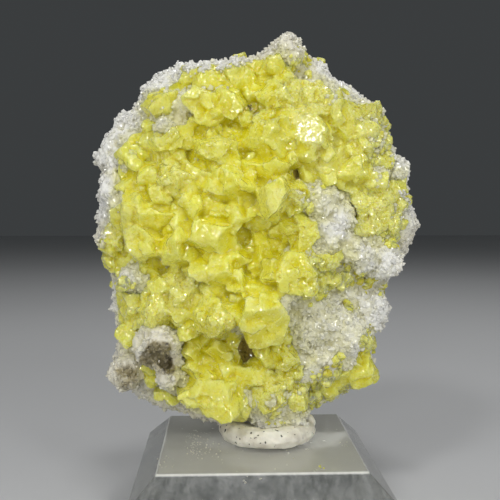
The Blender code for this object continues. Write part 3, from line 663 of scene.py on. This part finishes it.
def hollows_tree():
    """Stores how far each point stands out from what is near it, over ever wider rings."""
    tree, given, result = new_modifier_tree("hollows_and_edges", {"Near": 3, "Far": 40, "Farthest": 300})
    place, normal = place_and_normal(tree)
    geometry = given.outputs["Geometry"]
    for name, steps in (("edge", "Near"), ("crest", "Far"), ("rise", "Farthest")):
        blurred = add_node(tree, "GeometryNodeBlurAttribute", {
            "Value": place, "Iterations": given.outputs[steps],
        }, data_type="FLOAT_VECTOR").outputs[0]
        out = reckon_vector(tree, "DOT_PRODUCT", reckon_vector(tree, "SUBTRACT", place, blurred), normal)
        geometry = add_node(tree, "GeometryNodeStoreNamedAttribute", {
            "Geometry": geometry, "Name": name, "Value": reckon(tree, "DIVIDE", out, MM),
        }, data_type="FLOAT", domain="POINT").outputs["Geometry"]
    tree.links.new(geometry, result.inputs[0])
    return tree


def planting_tree():
    """Plants small crystals over a skin, more of them in its hollows, each turned and sized its own way."""
    tree, given, result = new_modifier_tree("planted_crystals", {
        "Skin": "NodeSocketObject", "Crystal": "NodeSocketObject", "Material": "NodeSocketMaterial",
        "Per square mm": 0.1, "Smallest mm": 1.0, "Largest mm": 3.0, "Hollow share": 1.0,
        "Farthest back": 0.35, "Sink mm": 0.2, "Seed": 1,
    })
    skin, crystal = [
        add_node(tree, "GeometryNodeObjectInfo", {"Object": given.outputs[label]}).outputs["Geometry"]
        for label in ("Skin", "Crystal")
    ]
    normal = add_node(tree, "GeometryNodeInputNormal").outputs[0]
    back = add_node(tree, "ShaderNodeSeparateXYZ", {0: normal}).outputs["Y"]
    wanted = reckon(tree, "LESS_THAN", back, given.outputs["Farthest back"])
    wanted = times(tree, wanted, attribute_in(tree, "sown"))
    open_share = reckon(tree, "SUBTRACT", 1.0, given.outputs["Hollow share"])
    hollow = spread(tree, attribute_in(tree, "crest"), 0.5, -0.5, open_share, 1.0)
    per_area = times(tree, given.outputs["Per square mm"], 1.0 / MM ** 2)
    density = times(tree, times(tree, per_area, hollow), wanted)
    sown = add_node(tree, "GeometryNodeDistributePointsOnFaces", {
        "Mesh": skin, "Density": density, "Seed": given.outputs["Seed"],
    })
    seat = scaled(tree, sown.outputs["Normal"], times(tree, given.outputs["Sink mm"], -MM))
    seated = add_node(tree, "GeometryNodeSetPosition", {"Geometry": sown.outputs["Points"], "Offset": seat})
    turn = chance_of(tree, given, 0.0, FULL_TURN)
    shape = chance_of(tree, given, *STRETCH)
    chance = add_node(tree, "FunctionNodeRandomValue", {
        2: 0.0, 3: 1.0, "Seed": given.outputs["Seed"],
    }, data_type="FLOAT").outputs[1]
    smallest, largest = [
        times(tree, given.outputs[label], 0.5 * MM) for label in ("Smallest mm", "Largest mm")
    ]
    size = spread(tree, reckon(tree, "POWER", chance, RARER), 0.0, 1.0, smallest, largest)
    planted = add_node(tree, "GeometryNodeInstanceOnPoints", {
        "Points": seated.outputs[0], "Instance": crystal, "Rotation": turn,
        "Scale": scaled(tree, shape, size),
    })
    joined = add_node(tree, "GeometryNodeJoinGeometry")
    tree.links.new(planted.outputs[0], joined.inputs[0])
    tree.links.new(given.outputs["Geometry"], joined.inputs[0])
    realized = add_node(tree, "GeometryNodeRealizeInstances", {0: joined.outputs[0]})
    finished = add_node(tree, "GeometryNodeSetMaterial", {
        "Geometry": realized.outputs[0], "Material": given.outputs["Material"],
    })
    tree.links.new(finished.outputs[0], result.inputs[0])
    return tree


FACETS = facet_tree()
SWELLS = swell_tree()
WARP = warp_tree()
GROWTH = growth_tree()
PUFF = puff_tree()
HOLLOWS = hollows_tree()
PLANTING = planting_tree()


# Small crystals that the trees repeat

def hull_object(name, corners):
    """A small closed crystal about one unit in radius, from its corners."""
    form = bmesh.new()
    for corner in corners:
        form.verts.new(corner)
    bmesh.ops.convex_hull(form, input=form.verts)
    bmesh.ops.recalc_face_normals(form, faces=form.faces)
    mesh = bpy.data.meshes.new(name)
    form.to_mesh(mesh)
    form.free()
    return link_object(name, mesh)


def sulfur_crystallet():
    """A blunt double pyramid, as sulfur grows."""
    waist = [(0.95, 0.0), (0.30, 0.72), (-0.40, 0.78), (-0.92, 0.10), (-0.35, -0.75), (0.42, -0.70)]
    corners = [(x, y, 0.22) for x, y in waist] + [(x, y, -0.26) for x, y in waist]
    corners += [(0.42 * x, 0.42 * y, 0.98) for x, y in waist[::2]]
    corners += [(0.38 * x, 0.38 * y, -0.95) for x, y in waist[1::2]]
    return hull_object("sulfur_crystallet", corners)


def druse_crystallet():
    """A stubby crystal with a six-sided foot and a leaning point."""
    foot = [(0.8, 0.1), (0.35, 0.75), (-0.45, 0.65), (-0.85, -0.05), (-0.35, -0.7), (0.5, -0.65)]
    corners = [(x, y, -0.35) for x, y in foot[::2]]
    corners += [(0.95 * x, 0.95 * y, 0.25) for x, y in foot]
    corners += [(0.12, -0.08, 1.0)]
    return hull_object("druse_crystallet", corners)


# Materials

def new_material(name):
    """A material, its tree, its shader and its place in millimetres."""
    made = bpy.data.materials.new(name)
    made.use_nodes = True
    tree = made.node_tree
    shader = tree.nodes["Principled BSDF"]
    here = add_node(tree, "ShaderNodeTexCoord").outputs["Object"]
    return made, tree, shader, scaled(tree, here, 1.0 / MM)


def marked(tree, name):
    """What a mark stored on the mesh says."""
    node = add_node(tree, "ShaderNodeAttribute", attribute_name=name, attribute_type="GEOMETRY")
    return node.outputs["Fac"]


def ragged(tree, name, noise, amount):
    """A mark whose border some noise breaks up."""
    return reckon(tree, "ADD", marked(tree, name), times(tree, noise, amount))


def raise_surface(tree, shader, height_mm, strength=1.0):
    """Relief from a height in millimetres."""
    bump = add_node(tree, "ShaderNodeBump", {"Strength": strength, "Distance": MM, "Height": height_mm})
    feed(tree, shader, {"Normal": bump.outputs["Normal"]})


def glinting_faces(tree, shader, place, leans, index):
    """A thin gloss whose small flat faces each lean their own way: cell, seed and lean of every layer."""
    facing = add_node(tree, "ShaderNodeNewGeometry").outputs["Normal"]
    calm = spread(tree, marked(tree, "glare"), 0.2, 0.8, 1.0, 0.25)
    for cell, seed, amount in leans:
        _, cells = small_cells(tree, place, cell, seed)
        lean = scaled(tree, cell_lean(tree, cells), times(tree, calm, amount))
        facing = reckon_vector(tree, "ADD", facing, lean)
    feed(tree, shader, {
        "Coat Weight": 1.0, "Coat Roughness": 0.09, "Coat IOR": index,
        "Coat Normal": reckon_vector(tree, "NORMALIZE", facing),
    })


def waxy_sulfur(name, depth_mm):
    """Half translucent yellow, with painted highlights on its edges and painted shade in its hollows,
    creases and gaps, frosted and glinting in places, with painted glare and glints where frosted.
    """
    made, tree, shader, place = new_material(name)
    rough = marked(tree, "rough")
    edge = marked(tree, "edge")
    frost_and_glare = ragged(tree, "frost_and_glare", lumps(tree, place, 0.6, 4.0), 1.8)
    _, cells = small_cells(tree, place, CHIP, 0)
    chips = add_node(tree, "ShaderNodeSeparateColor", {0: cells.outputs["Color"]})
    # Pale chips are painted glints, dark chips are olive flecks
    painted_glint_chips, deep_chips = [
        reckon(tree, "ADD", chips.outputs[part], times(tree, rough, CHIP_RISE)) for part in (0, 1)
    ]
    colour = laid_over(tree, SULFUR_HOLLOW_SHADE, [
        # Painted shade: deep in hollows, body colour where the surface stands out, deep again over broad
        # hollows
        (ragged(tree, "crest", lumps(tree, place, 2.0), 0.3), -0.22, 0.25, 1.0, SULFUR_BODY),
        (ragged(tree, "rise", lumps(tree, place, 3.5), 1.0), 0.2, -1.3, 0.8, SULFUR_HOLLOW_SHADE),
        # Painted shade in the gaps between crystals
        (marked(tree, "crest"), -0.12, -0.55, 0.75, SULFUR_GAP_SHADE),
        (lumps(tree, place, 6.0, 1.0), 0.04, 0.2, 0.4, SULFUR_OLIVE),
        # Olive crystals, and painted shade in recesses
        (ragged(tree, "deep", lumps(tree, place, 1.8), 0.6), 0.3, 1.0, 0.8, SULFUR_OLIVE),
        (ragged(tree, "pale", lumps(tree, place, 0.7, 4.0, 0.7), 2.0), 0.1, 1.0, 0.7, SULFUR_PALE),
        # Painted highlight along the crystals' edges
        (edge, 0.03, 0.11, 0.65, SULFUR_PALE),
        # Painted shade along creases
        (edge, -0.03, -0.12, 0.5, SULFUR_CREASE_SHADE),
        # Frosted places, with painted glare where the mark is strongest
        (frost_and_glare, 0.5, 0.9, 0.45, SULFUR_FROST_AND_GLINT),
        (frost_and_glare, 1.25, 1.6, 0.9, SULFUR_GLARE),
        # Painted glints as pale chips
        (painted_glint_chips, 0.84, 1.05, 0.6, SULFUR_FROST_AND_GLINT),
        (deep_chips, 0.80, 1.05, 0.55, SULFUR_OLIVE),
        (lumps(tree, place, 0.55, 1.0), 0.335, 0.37, 0.6, SULFUR_DIRT),
    ])
    glints = [(1.9, 3, 0.35), (0.32, 7, spread(tree, rough, 0.0, 1.0, 0.45, 0.8))]
    glinting_faces(tree, shader, place, glints, 1.85)
    feed(tree, shader, {
        "Base Color": colour, "IOR": 1.2, "Subsurface Weight": 0.9,
        "Subsurface Radius": (1.0, 0.92, 0.12), "Subsurface Scale": depth_mm * MM,
        "Coat Weight": spread(tree, marked(tree, "crest"), -0.5, 0.1, 0.15, 1.0),
        "Roughness": spread(tree, lumps(tree, place, 1.2, 3.0), -0.2, 0.2, 0.1, 0.26),
    })
    height = times(tree, tilted_cells(tree, place, 0.9, 3), 0.16)
    texture = spread(tree, rough, 0.0, 1.0, 0.35, 1.1)
    fine = times(tree, tilted_cells(tree, place, 0.34, 7), texture)
    grain = times(tree, lumps(tree, place, 0.25, 3.0), 0.05)
    raise_surface(tree, shader, reckon(tree, "ADD", height, reckon(tree, "ADD", fine, grain)))
    return made


def drusy_rock(name, sparkle):
    """White sugary crust passing into grey and brown rock, with painted shade in its hollows, pits and
    cave.
    """
    made, tree, shader, place = new_material(name)
    mottle = lumps(tree, place, 1.3, 3.0)
    earth_and_cave_shade = marked(tree, "earth_and_cave_shade")
    soil = laid_over(tree, EARTH_BROWN, [
        (reckon(tree, "SUBTRACT", mottle, earth_and_cave_shade), -1.0, -0.4, 1.0, EARTH_GREY),
    ])
    specks = times(tree, spread(tree, lumps(tree, place, 0.8, 2.0), 0.06, 0.2), earth_and_cave_shade)
    colour = laid_over(tree, DRUSE_GREY, [
        (ragged(tree, "druse", lumps(tree, place, 6.0, 4.0, 0.6), 1.2), 0.1, 0.8, 1.0, DRUSE_WHITE),
        (ragged(tree, "clear", lumps(tree, place, 2.2, 3.0), 2.2), 0.3, 1.1, 0.85, DRUSE_CLEAR),
        (ragged(tree, "near", lumps(tree, place, 3.0, 3.0), 1.6), 0.15, 0.9, 0.7, DRUSE_YELLOW),
        # Painted shade in the hollows, tinged yellow as painted light from the sulfur
        (ragged(tree, "crest", mottle, 0.4), 0.0, -0.5, 0.6, HOLLOW_SHADE_AND_BOUNCE),
        # Earthy rock, darkest brown over the cave as painted shade
        (ragged(tree, "earth_and_cave_shade", mottle, 1.0), 0.35, 0.9, 0.9, soil),
        # Painted shade in small pits of the earthy rock
        (specks, 0.2, 0.9, 0.8, PIT_SHADE),
        (marked(tree, "shade"), 0.2, 0.8, 1.0, CAVE_OLIVE),
    ])
    glinting_faces(tree, shader, place, [(0.36, 7, 1.2)], 1.6)
    feed(tree, shader, {
        "Base Color": colour, "IOR": 1.3, "Subsurface Weight": 0.5,
        "Subsurface Radius": (1.0, 1.0, 0.95), "Subsurface Scale": 1.1 * MM,
        "Roughness": spread(tree, mottle, -0.2, 0.2, sparkle, sparkle + 0.3),
    })
    height = times(tree, tilted_cells(tree, place, 0.7, 5), 0.4)
    grain = times(tree, lumps(tree, place, 0.3, 3.0), 0.08)
    raise_surface(tree, shader, reckon(tree, "ADD", height, grain), 0.9)
    return made


def dull_putty():
    """Off-white putty with pits darkened by painted shade, and a faint grain."""
    made, tree, shader, place = new_material("dull_putty")
    # Pits, darkened as painted shade and sunk a little by the bump below
    pits = spread(tree, lumps(tree, place, 0.9, 1.0), 0.165, 0.20)
    colour = laid_over(tree, PUTTY_SHADE, [(lumps(tree, place, 3.0, 4.0), -0.25, 0.1, 1.0, PUTTY_WHITE)])
    feed(tree, shader, {
        "Base Color": blend_colour(tree, pits, colour, PIT_SHADE), "Roughness": 0.8,
        "Subsurface Weight": 0.15, "Subsurface Radius": (1.0, 0.8, 0.5), "Subsurface Scale": 1.0 * MM,
    })
    grain = times(tree, lumps(tree, place, 0.5, 4.0), 0.12)
    raise_surface(tree, shader, reckon(tree, "ADD", grain, times(tree, pits, -0.15)))
    return made


def scuffed_acrylic():
    """Clear acrylic, hazy on top with a painted reflection there, with a painted highlight along its upper
    edges, and faintly brushed on its sides.
    """
    made, tree, shader, place = new_material("scuffed_acrylic")
    scuff = lumps(tree, place, 2.5, 5.0, 0.65)
    height = add_node(tree, "ShaderNodeSeparateXYZ", {0: place}).outputs["Z"]
    brushed = lumps(tree, reckon_vector(tree, "MULTIPLY", place, (1.0, 0.5, 0.5)), 1.6, 6.0, 0.75)
    on_top = spread(tree, height, BLOCK_TOP - 0.1, BLOCK_TOP - 0.02)
    below_top = reckon(tree, "SUBTRACT", 1.0, on_top)
    brush_marks = times(tree, spread(tree, brushed, -0.15, 0.2, 0.0, 0.12), below_top)
    # Painted highlight in a band along the upper edges
    near_top = spread(tree, height, BLOCK_TOP - 0.5, BLOCK_TOP - 0.25)
    painted_edge_highlight = times(tree, near_top, below_top)
    tint = laid_over(tree, ACRYLIC_SIDE_DARK, [(brushed, -0.14, 0.14, 1.0, ACRYLIC_SIDE)])
    # Painted reflection: the hazy top face painted paler
    tint = blend_colour(tree, on_top, tint, ACRYLIC_TOP_HAZE_AND_REFLECTION)
    clear = spread(tree, on_top, 0.0, 1.0, 0.90, 0.58)
    clear = reckon(tree, "SUBTRACT", clear, times(tree, painted_edge_highlight, 0.6))
    clear = reckon(tree, "SUBTRACT", clear, brush_marks, clamp=True)
    dull = reckon(tree, "ADD", spread(tree, scuff, -0.2, 0.3, 0.06, 0.18), times(tree, on_top, 0.12))
    feed(tree, shader, {
        "Base Color": blend_colour(tree, painted_edge_highlight, tint, ACRYLIC_EDGE_HIGHLIGHT), "Transmission Weight": clear,
        "IOR": 1.49, "Roughness": dull,
    })
    raise_surface(tree, shader, times(tree, scuff, 0.004))
    return made


def pale_floor():
    """A plain pale floor."""
    made, tree, shader, place = new_material("pale_floor")
    colour = laid_over(tree, FLOOR_DARK, [(lumps(tree, place, 220.0, 1.0), -0.4, 0.4, 1.0, FLOOR_PALE)])
    feed(tree, shader, {"Base Color": colour, "Roughness": 0.7})
    return made


SULFUR = waxy_sulfur("waxy_sulfur", 2.2)
SMALL_SULFUR = waxy_sulfur("small_waxy_sulfur", 0.9)
ROCK = drusy_rock("drusy_crust", 0.22)
GRAINS = drusy_rock("druse_grains", 0.24)
PUTTY = dull_putty()
ACRYLIC = scuffed_acrylic()
FLOOR = pale_floor()


# Pieces

def finish_piece(target, material, slot, *nodes):
    """Give a piece its material, and let it ride and stand for its CAD nodes."""
    target.data.materials.clear()
    target.data.materials.append(material)
    forget(target.data, "sown")
    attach(target, "root")
    if nodes:
        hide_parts(*nodes)
    return target


def plant(target, skin, crystal, material, density, smallest, largest, hollow, back, sunk, seed):
    """Plant small crystals on a skin: how many, how large, how much in hollows, how far round, how deep."""
    run_tree(target, PLANTING, {
        "Skin": skin, "Crystal": crystal, "Material": material, "Per square mm": density,
        "Smallest mm": smallest, "Largest mm": largest, "Hollow share": hollow, "Farthest back": back,
        "Sink mm": sunk, "Seed": seed,
    })


def fill_gaps(form, reach_mm, shrink_mm):
    """Swell a form until its gaps close, and shrink it again by a little more."""
    remesh(form, COARSE_VOXEL)
    for out_mm in (reach_mm, -reach_mm - shrink_mm):
        run_tree(form, PUFF, {"Out mm": out_mm})
        remesh(form, COARSE_VOXEL)


def filled_form(node):
    """A coarse form of a CAD node whose narrow gaps are filled and which knows its hollows."""
    form = cad_copy(node + "_filled", node)
    fill_gaps(form, FILL_REACH, FILL_UNDER)
    run_tree(form, HOLLOWS, {"Near": 2, "Far": 14, "Farthest": 20})
    store(form.data, "sown", np.ones(len(form.data.vertices)))
    return form


def sulfur_piece(node, seed, crystallet):
    """Sulfur as it grew: CAD crystals with small ones between them, in one facetted skin."""
    piece = cad_copy(node + "_grown", node)
    filling = filled_form(node)
    plant(piece, filling, crystallet, SULFUR, CRYSTALLETS, 1.2, 4.0, 0.95, 0.3, 0.2, seed)
    mark(filling.data, "sown", ROUGH_SPOTS)
    plant(piece, filling, crystallet, SULFUR, 0.5, 1.0, 2.6, 0.1, 0.2, -0.1, seed + 3)
    join_forms(piece, filling)
    remesh(piece, SULFUR_VOXEL)
    nudge(piece.data, NUDGED)
    mark(piece.data, "rough", ROUGH_SPOTS)
    run_tree(piece, PUFF, {"Out mm": 0.15})
    run_tree(piece, WARP, {"Size mm": 2.6, "Reach mm": 0.5})
    run_tree(piece, FACETS, {
        "Facet mm": 2.4, "Tilt": 0.1, "Strength": 0.8, "Calm strength": 0.6, "Limit mm": 0.4,
        "Seed": seed + 1,
    })
    run_tree(piece, GROWTH, {"Size mm": 6.0, "Steps": 24.0, "Height mm": 0.03})
    run_tree(piece, FACETS, {
        "Facet mm": 0.9, "Tilt": 0.35, "Strength": 0.9, "Calm strength": 0.15, "Limit mm": 0.25,
        "Seed": seed + 2,
    })
    cut_mirrors(piece.data, MIRROR_FACES)
    run_tree(piece, HOLLOWS, {"Near": 3, "Far": 60, "Farthest": 450})
    thin(piece, hidden_back=0.4)
    for name, spots in (("frost_and_glare", FROST_AND_GLARE_SPOTS), ("pale", PALE_SPOTS), ("deep", DEEP_SPOTS)):
        mark(piece.data, name, spots)
    return finish_piece(piece, SULFUR, "sulfur", node)


def lapping_form(crust):
    """A coarse form of rock that laps up to the sulfur where the white crust lies, else stays under it."""
    form = cad_copy("lapping", "matrix_rock", "sulfur_crust", "sulfur_lower_right")
    fill_gaps(form, LAP_REACH, LAP_UNDER)
    points = points_of(form.data)
    kept = amount_in(points, DRUSE_SPOTS)
    points[:, 1] += (1.0 - kept) * LAP_HIDDEN * on_front(points)
    move_points(form.data, points)
    run_tree(form, HOLLOWS, {"Near": 2, "Far": 14, "Farthest": 20})
    clear = np.clip(distance_to(form.data, crust.data) - LAP_CLEAR, 0.0, 1.0)
    store(form.data, "sown", kept * clear)
    return form


def mark_rock(mesh, crust):
    """Where the rock is white, earthy, darkened by painted shade in its cave and cavities, or tinged by the
    sulfur beside it.
    """
    points = points_of(mesh)
    store(mesh, "druse", np.maximum(amount_in(points, DRUSE_SPOTS), BACK_DRUSE * (1.0 - on_front(points))))
    mark(mesh, "earth_and_cave_shade", EARTH_AND_CAVE_SHADE_SPOTS)
    mark(mesh, "shade", SHADE_SPOTS)
    mark(mesh, "clear", CLEAR_SPOTS)
    beside = np.clip(1.0 - distance_to(mesh, crust.data) / TINGE_REACH, 0.0, 1.0)
    bare = np.maximum(amount_in(points, BARE_SPOTS), amount_in(points, RIM_SPOTS))
    tinge = np.maximum(beside, TINGE_MOST * amount_in(points, YELLOW_SPOTS)) * (1.0 - TINGE_MOST * bare)
    store(mesh, "near", tinge)


def build_rock(crystallet, crust):
    """The rock plate's skin."""
    piece = cad_copy("rock_skin", "matrix_rock")
    filling = lapping_form(crust)
    plant(piece, filling, crystallet, ROCK, 0.16, 1.6, 4.4, 0.2, 0.6, 0.1, 29)
    join_forms(piece, filling)
    remesh(piece, ROCK_VOXEL)
    sink(piece.data, SUNK)
    fill_cave(piece.data, CAVE_FLOOR)
    remesh(piece, ROCK_VOXEL)
    run_tree(piece, PUFF, {"Out mm": 0.22})
    run_tree(piece, WARP, {"Size mm": 4.0, "Reach mm": 0.9})
    run_tree(piece, SWELLS, {
        "Broad mm": 4.5, "Broad height mm": 0.6, "Fine mm": 1.4, "Fine height mm": 0.3,
    })
    mark(piece.data, "rough", DRUSE_SPOTS)
    run_tree(piece, FACETS, {
        "Facet mm": 1.1, "Tilt": 0.5, "Strength": 1.0, "Calm strength": 0.8, "Limit mm": 0.4, "Seed": 31,
    })
    run_tree(piece, HOLLOWS, {"Near": 2, "Far": 40, "Farthest": 200})
    thin(piece)
    mark_rock(piece.data, crust)
    return finish_piece(piece, ROCK, "drusy_rock", "matrix_rock")


def build_yellow_grains(rock, crystallet):
    """Small sulfur crystals grown on the white crust beside the large ones."""
    mark(rock.data, "sown", YELLOW_SPOTS)
    grains = link_object("sulfur_grains", bpy.data.meshes.new("sulfur_grains"))
    plant(grains, rock, crystallet, SMALL_SULFUR, 1.1, 0.7, 3.0, 0.2, 0.3, 0.1, 61)
    store(grains.data, "rough", np.full(len(grains.data.vertices), 0.6))
    mark(grains.data, "pale", [(x, z, radius * 1.3, 0.8) for x, z, radius, _ in YELLOW_SPOTS])
    return finish_piece(grains, SMALL_SULFUR, "sulfur")


def build_grains(rock, crystallet, crust):
    """The micro crystals that cover the rock and climb over the rim of the sulfur."""
    white = amount_in(points_of(rock.data), DRUSE_SPOTS)
    store(rock.data, "sown", BARE_GRAINS + (1.0 - BARE_GRAINS) * white)
    grains = link_object("druse_grains", bpy.data.meshes.new("druse_grains"))
    plant(grains, rock, crystallet, GRAINS, 0.95, 0.6, 1.7, 0.1, 1.1, -0.12, 41)
    mark(crust.data, "sown", RIM_SPOTS)
    plant(grains, crust, crystallet, GRAINS, 2.2, 0.7, 1.6, 0.1, 1.1, -0.1, 43)
    mark_rock(grains.data, crust)
    for used in (rock, crust):
        forget(used.data, "sown")
    return finish_piece(grains, GRAINS, "drusy_rock")


def build_putty():
    """The putty ring with its marks and pits."""
    piece = cad_copy("putty_ring", "putty")
    remesh(piece, PUTTY_VOXEL)
    run_tree(piece, SWELLS, {
        "Broad mm": 3.0, "Broad height mm": 0.3, "Fine mm": 0.8, "Fine height mm": 0.12,
    })
    thin(piece)
    piece.data.shade_smooth()
    return finish_piece(piece, PUTTY, "mineral_putty", "putty")


def build_crumbs(name, spots, density, smallest, largest, crystallet, material, slot):
    """Crumbs fallen from the specimen onto the block."""
    skin = cad_copy(name + "_skin", "acrylic_block")
    step = skin.modifiers.new("finer", "SUBSURF")
    step.subdivision_type = "SIMPLE"
    step.levels = 6
    bake(skin)
    upward = normals_of(skin.data)[:, 2] > UPWARD
    store(skin.data, "sown", amount_in(points_of(skin.data), spots) * upward)
    crumbs = link_object(name, bpy.data.meshes.new(name))
    plant(crumbs, skin, crystallet, material, density, smallest, largest, 0.0, 0.2, -0.06, 71)
    discard(skin)
    return finish_piece(crumbs, material, slot)


def build_block():
    """The display block with its edges eased."""
    piece = cad_copy("display_block", "acrylic_block")
    step = piece.modifiers.new("eased_edges", "BEVEL")
    step.width = EASED_EDGE * MM
    step.segments = 3
    step.limit_method = "ANGLE"
    step.angle_limit = math.radians(20)
    bake(piece)
    return finish_piece(piece, ACRYLIC, "clear_acrylic", "acrylic_block")


# Studio

def softbox(name, around, up, size, power):
    """A soft square light aimed at the specimen."""
    data = bpy.data.lights.new(name, "AREA")
    data.size = size
    data.energy = power
    lamp = link_object(name, data)
    lamp.location = softbox_place(around, up)
    lamp.rotation_euler = (Vector(STUDIO_MIDDLE) - lamp.location).to_track_quat("-Z", "Y").to_euler()


def build_studio():
    """Floor, light and camera."""
    scene = bpy.context.scene
    mesh = bpy.data.meshes.new("floor")
    ring = ((-1, -1), (1, -1), (1, 1), (-1, 1))
    corners = [(x * FLOOR_HALF, y * FLOOR_HALF, -FLOOR_DROP) for x, y in ring]
    mesh.from_pydata(corners, [], [(0, 1, 2, 3)])
    floor = link_object("floor", mesh)
    floor.data.materials.append(FLOOR)
    for number, (around, up, size, power) in enumerate(SOFTBOXES):
        softbox(f"softbox_{number:02d}", around, up, size, power)
    world = bpy.data.worlds.new("studio")
    world.use_nodes = True
    background = world.node_tree.nodes["Background"]
    feed(world.node_tree, background, {"Color": (*WORLD_GREY, 1.0), "Strength": WORLD_LIGHT})
    scene.world = world
    scene.view_settings.view_transform = "Standard"
    data = bpy.data.cameras.new("camera")
    data.lens = LENS_MM
    data.sensor_width = SENSOR_MM
    data.clip_start = NEAREST_SEEN
    camera = link_object("camera", data)
    camera.location = CAMERA_PLACE
    camera.rotation_euler = (math.radians(90) - CAMERA_TILT_DOWN, 0.0, -CAMERA_TURN_RIGHT)
    scene.camera = camera


def main():
    """Build every piece and the studio."""
    sulfur_grain = sulfur_crystallet()
    druse_grain = druse_crystallet()
    crust = sulfur_piece("sulfur_crust", CRUST_SEED, sulfur_grain)
    clusters = [node for node in NODES if node.startswith("sulfur_") and node != "sulfur_crust"]
    for number, node in enumerate(sorted(clusters)):
        sulfur_piece(node, CLUSTER_SEEDS[0] + CLUSTER_SEEDS[1] * number, sulfur_grain)
    rock = build_rock(druse_grain, crust)
    build_yellow_grains(rock, sulfur_grain)
    build_grains(rock, druse_grain, crust)
    build_putty()
    build_block()
    build_crumbs("white_crumbs", DUST_SPOTS, 2.4, 0.14, 0.5, druse_grain, GRAINS, "drusy_rock")
    build_crumbs("yellow_crumbs", CRUMB_SPOTS, 2.2, 0.3, 0.8, sulfur_grain, SMALL_SULFUR, "sulfur")
    discard(sulfur_grain)
    discard(druse_grain)
    build_studio()


main()
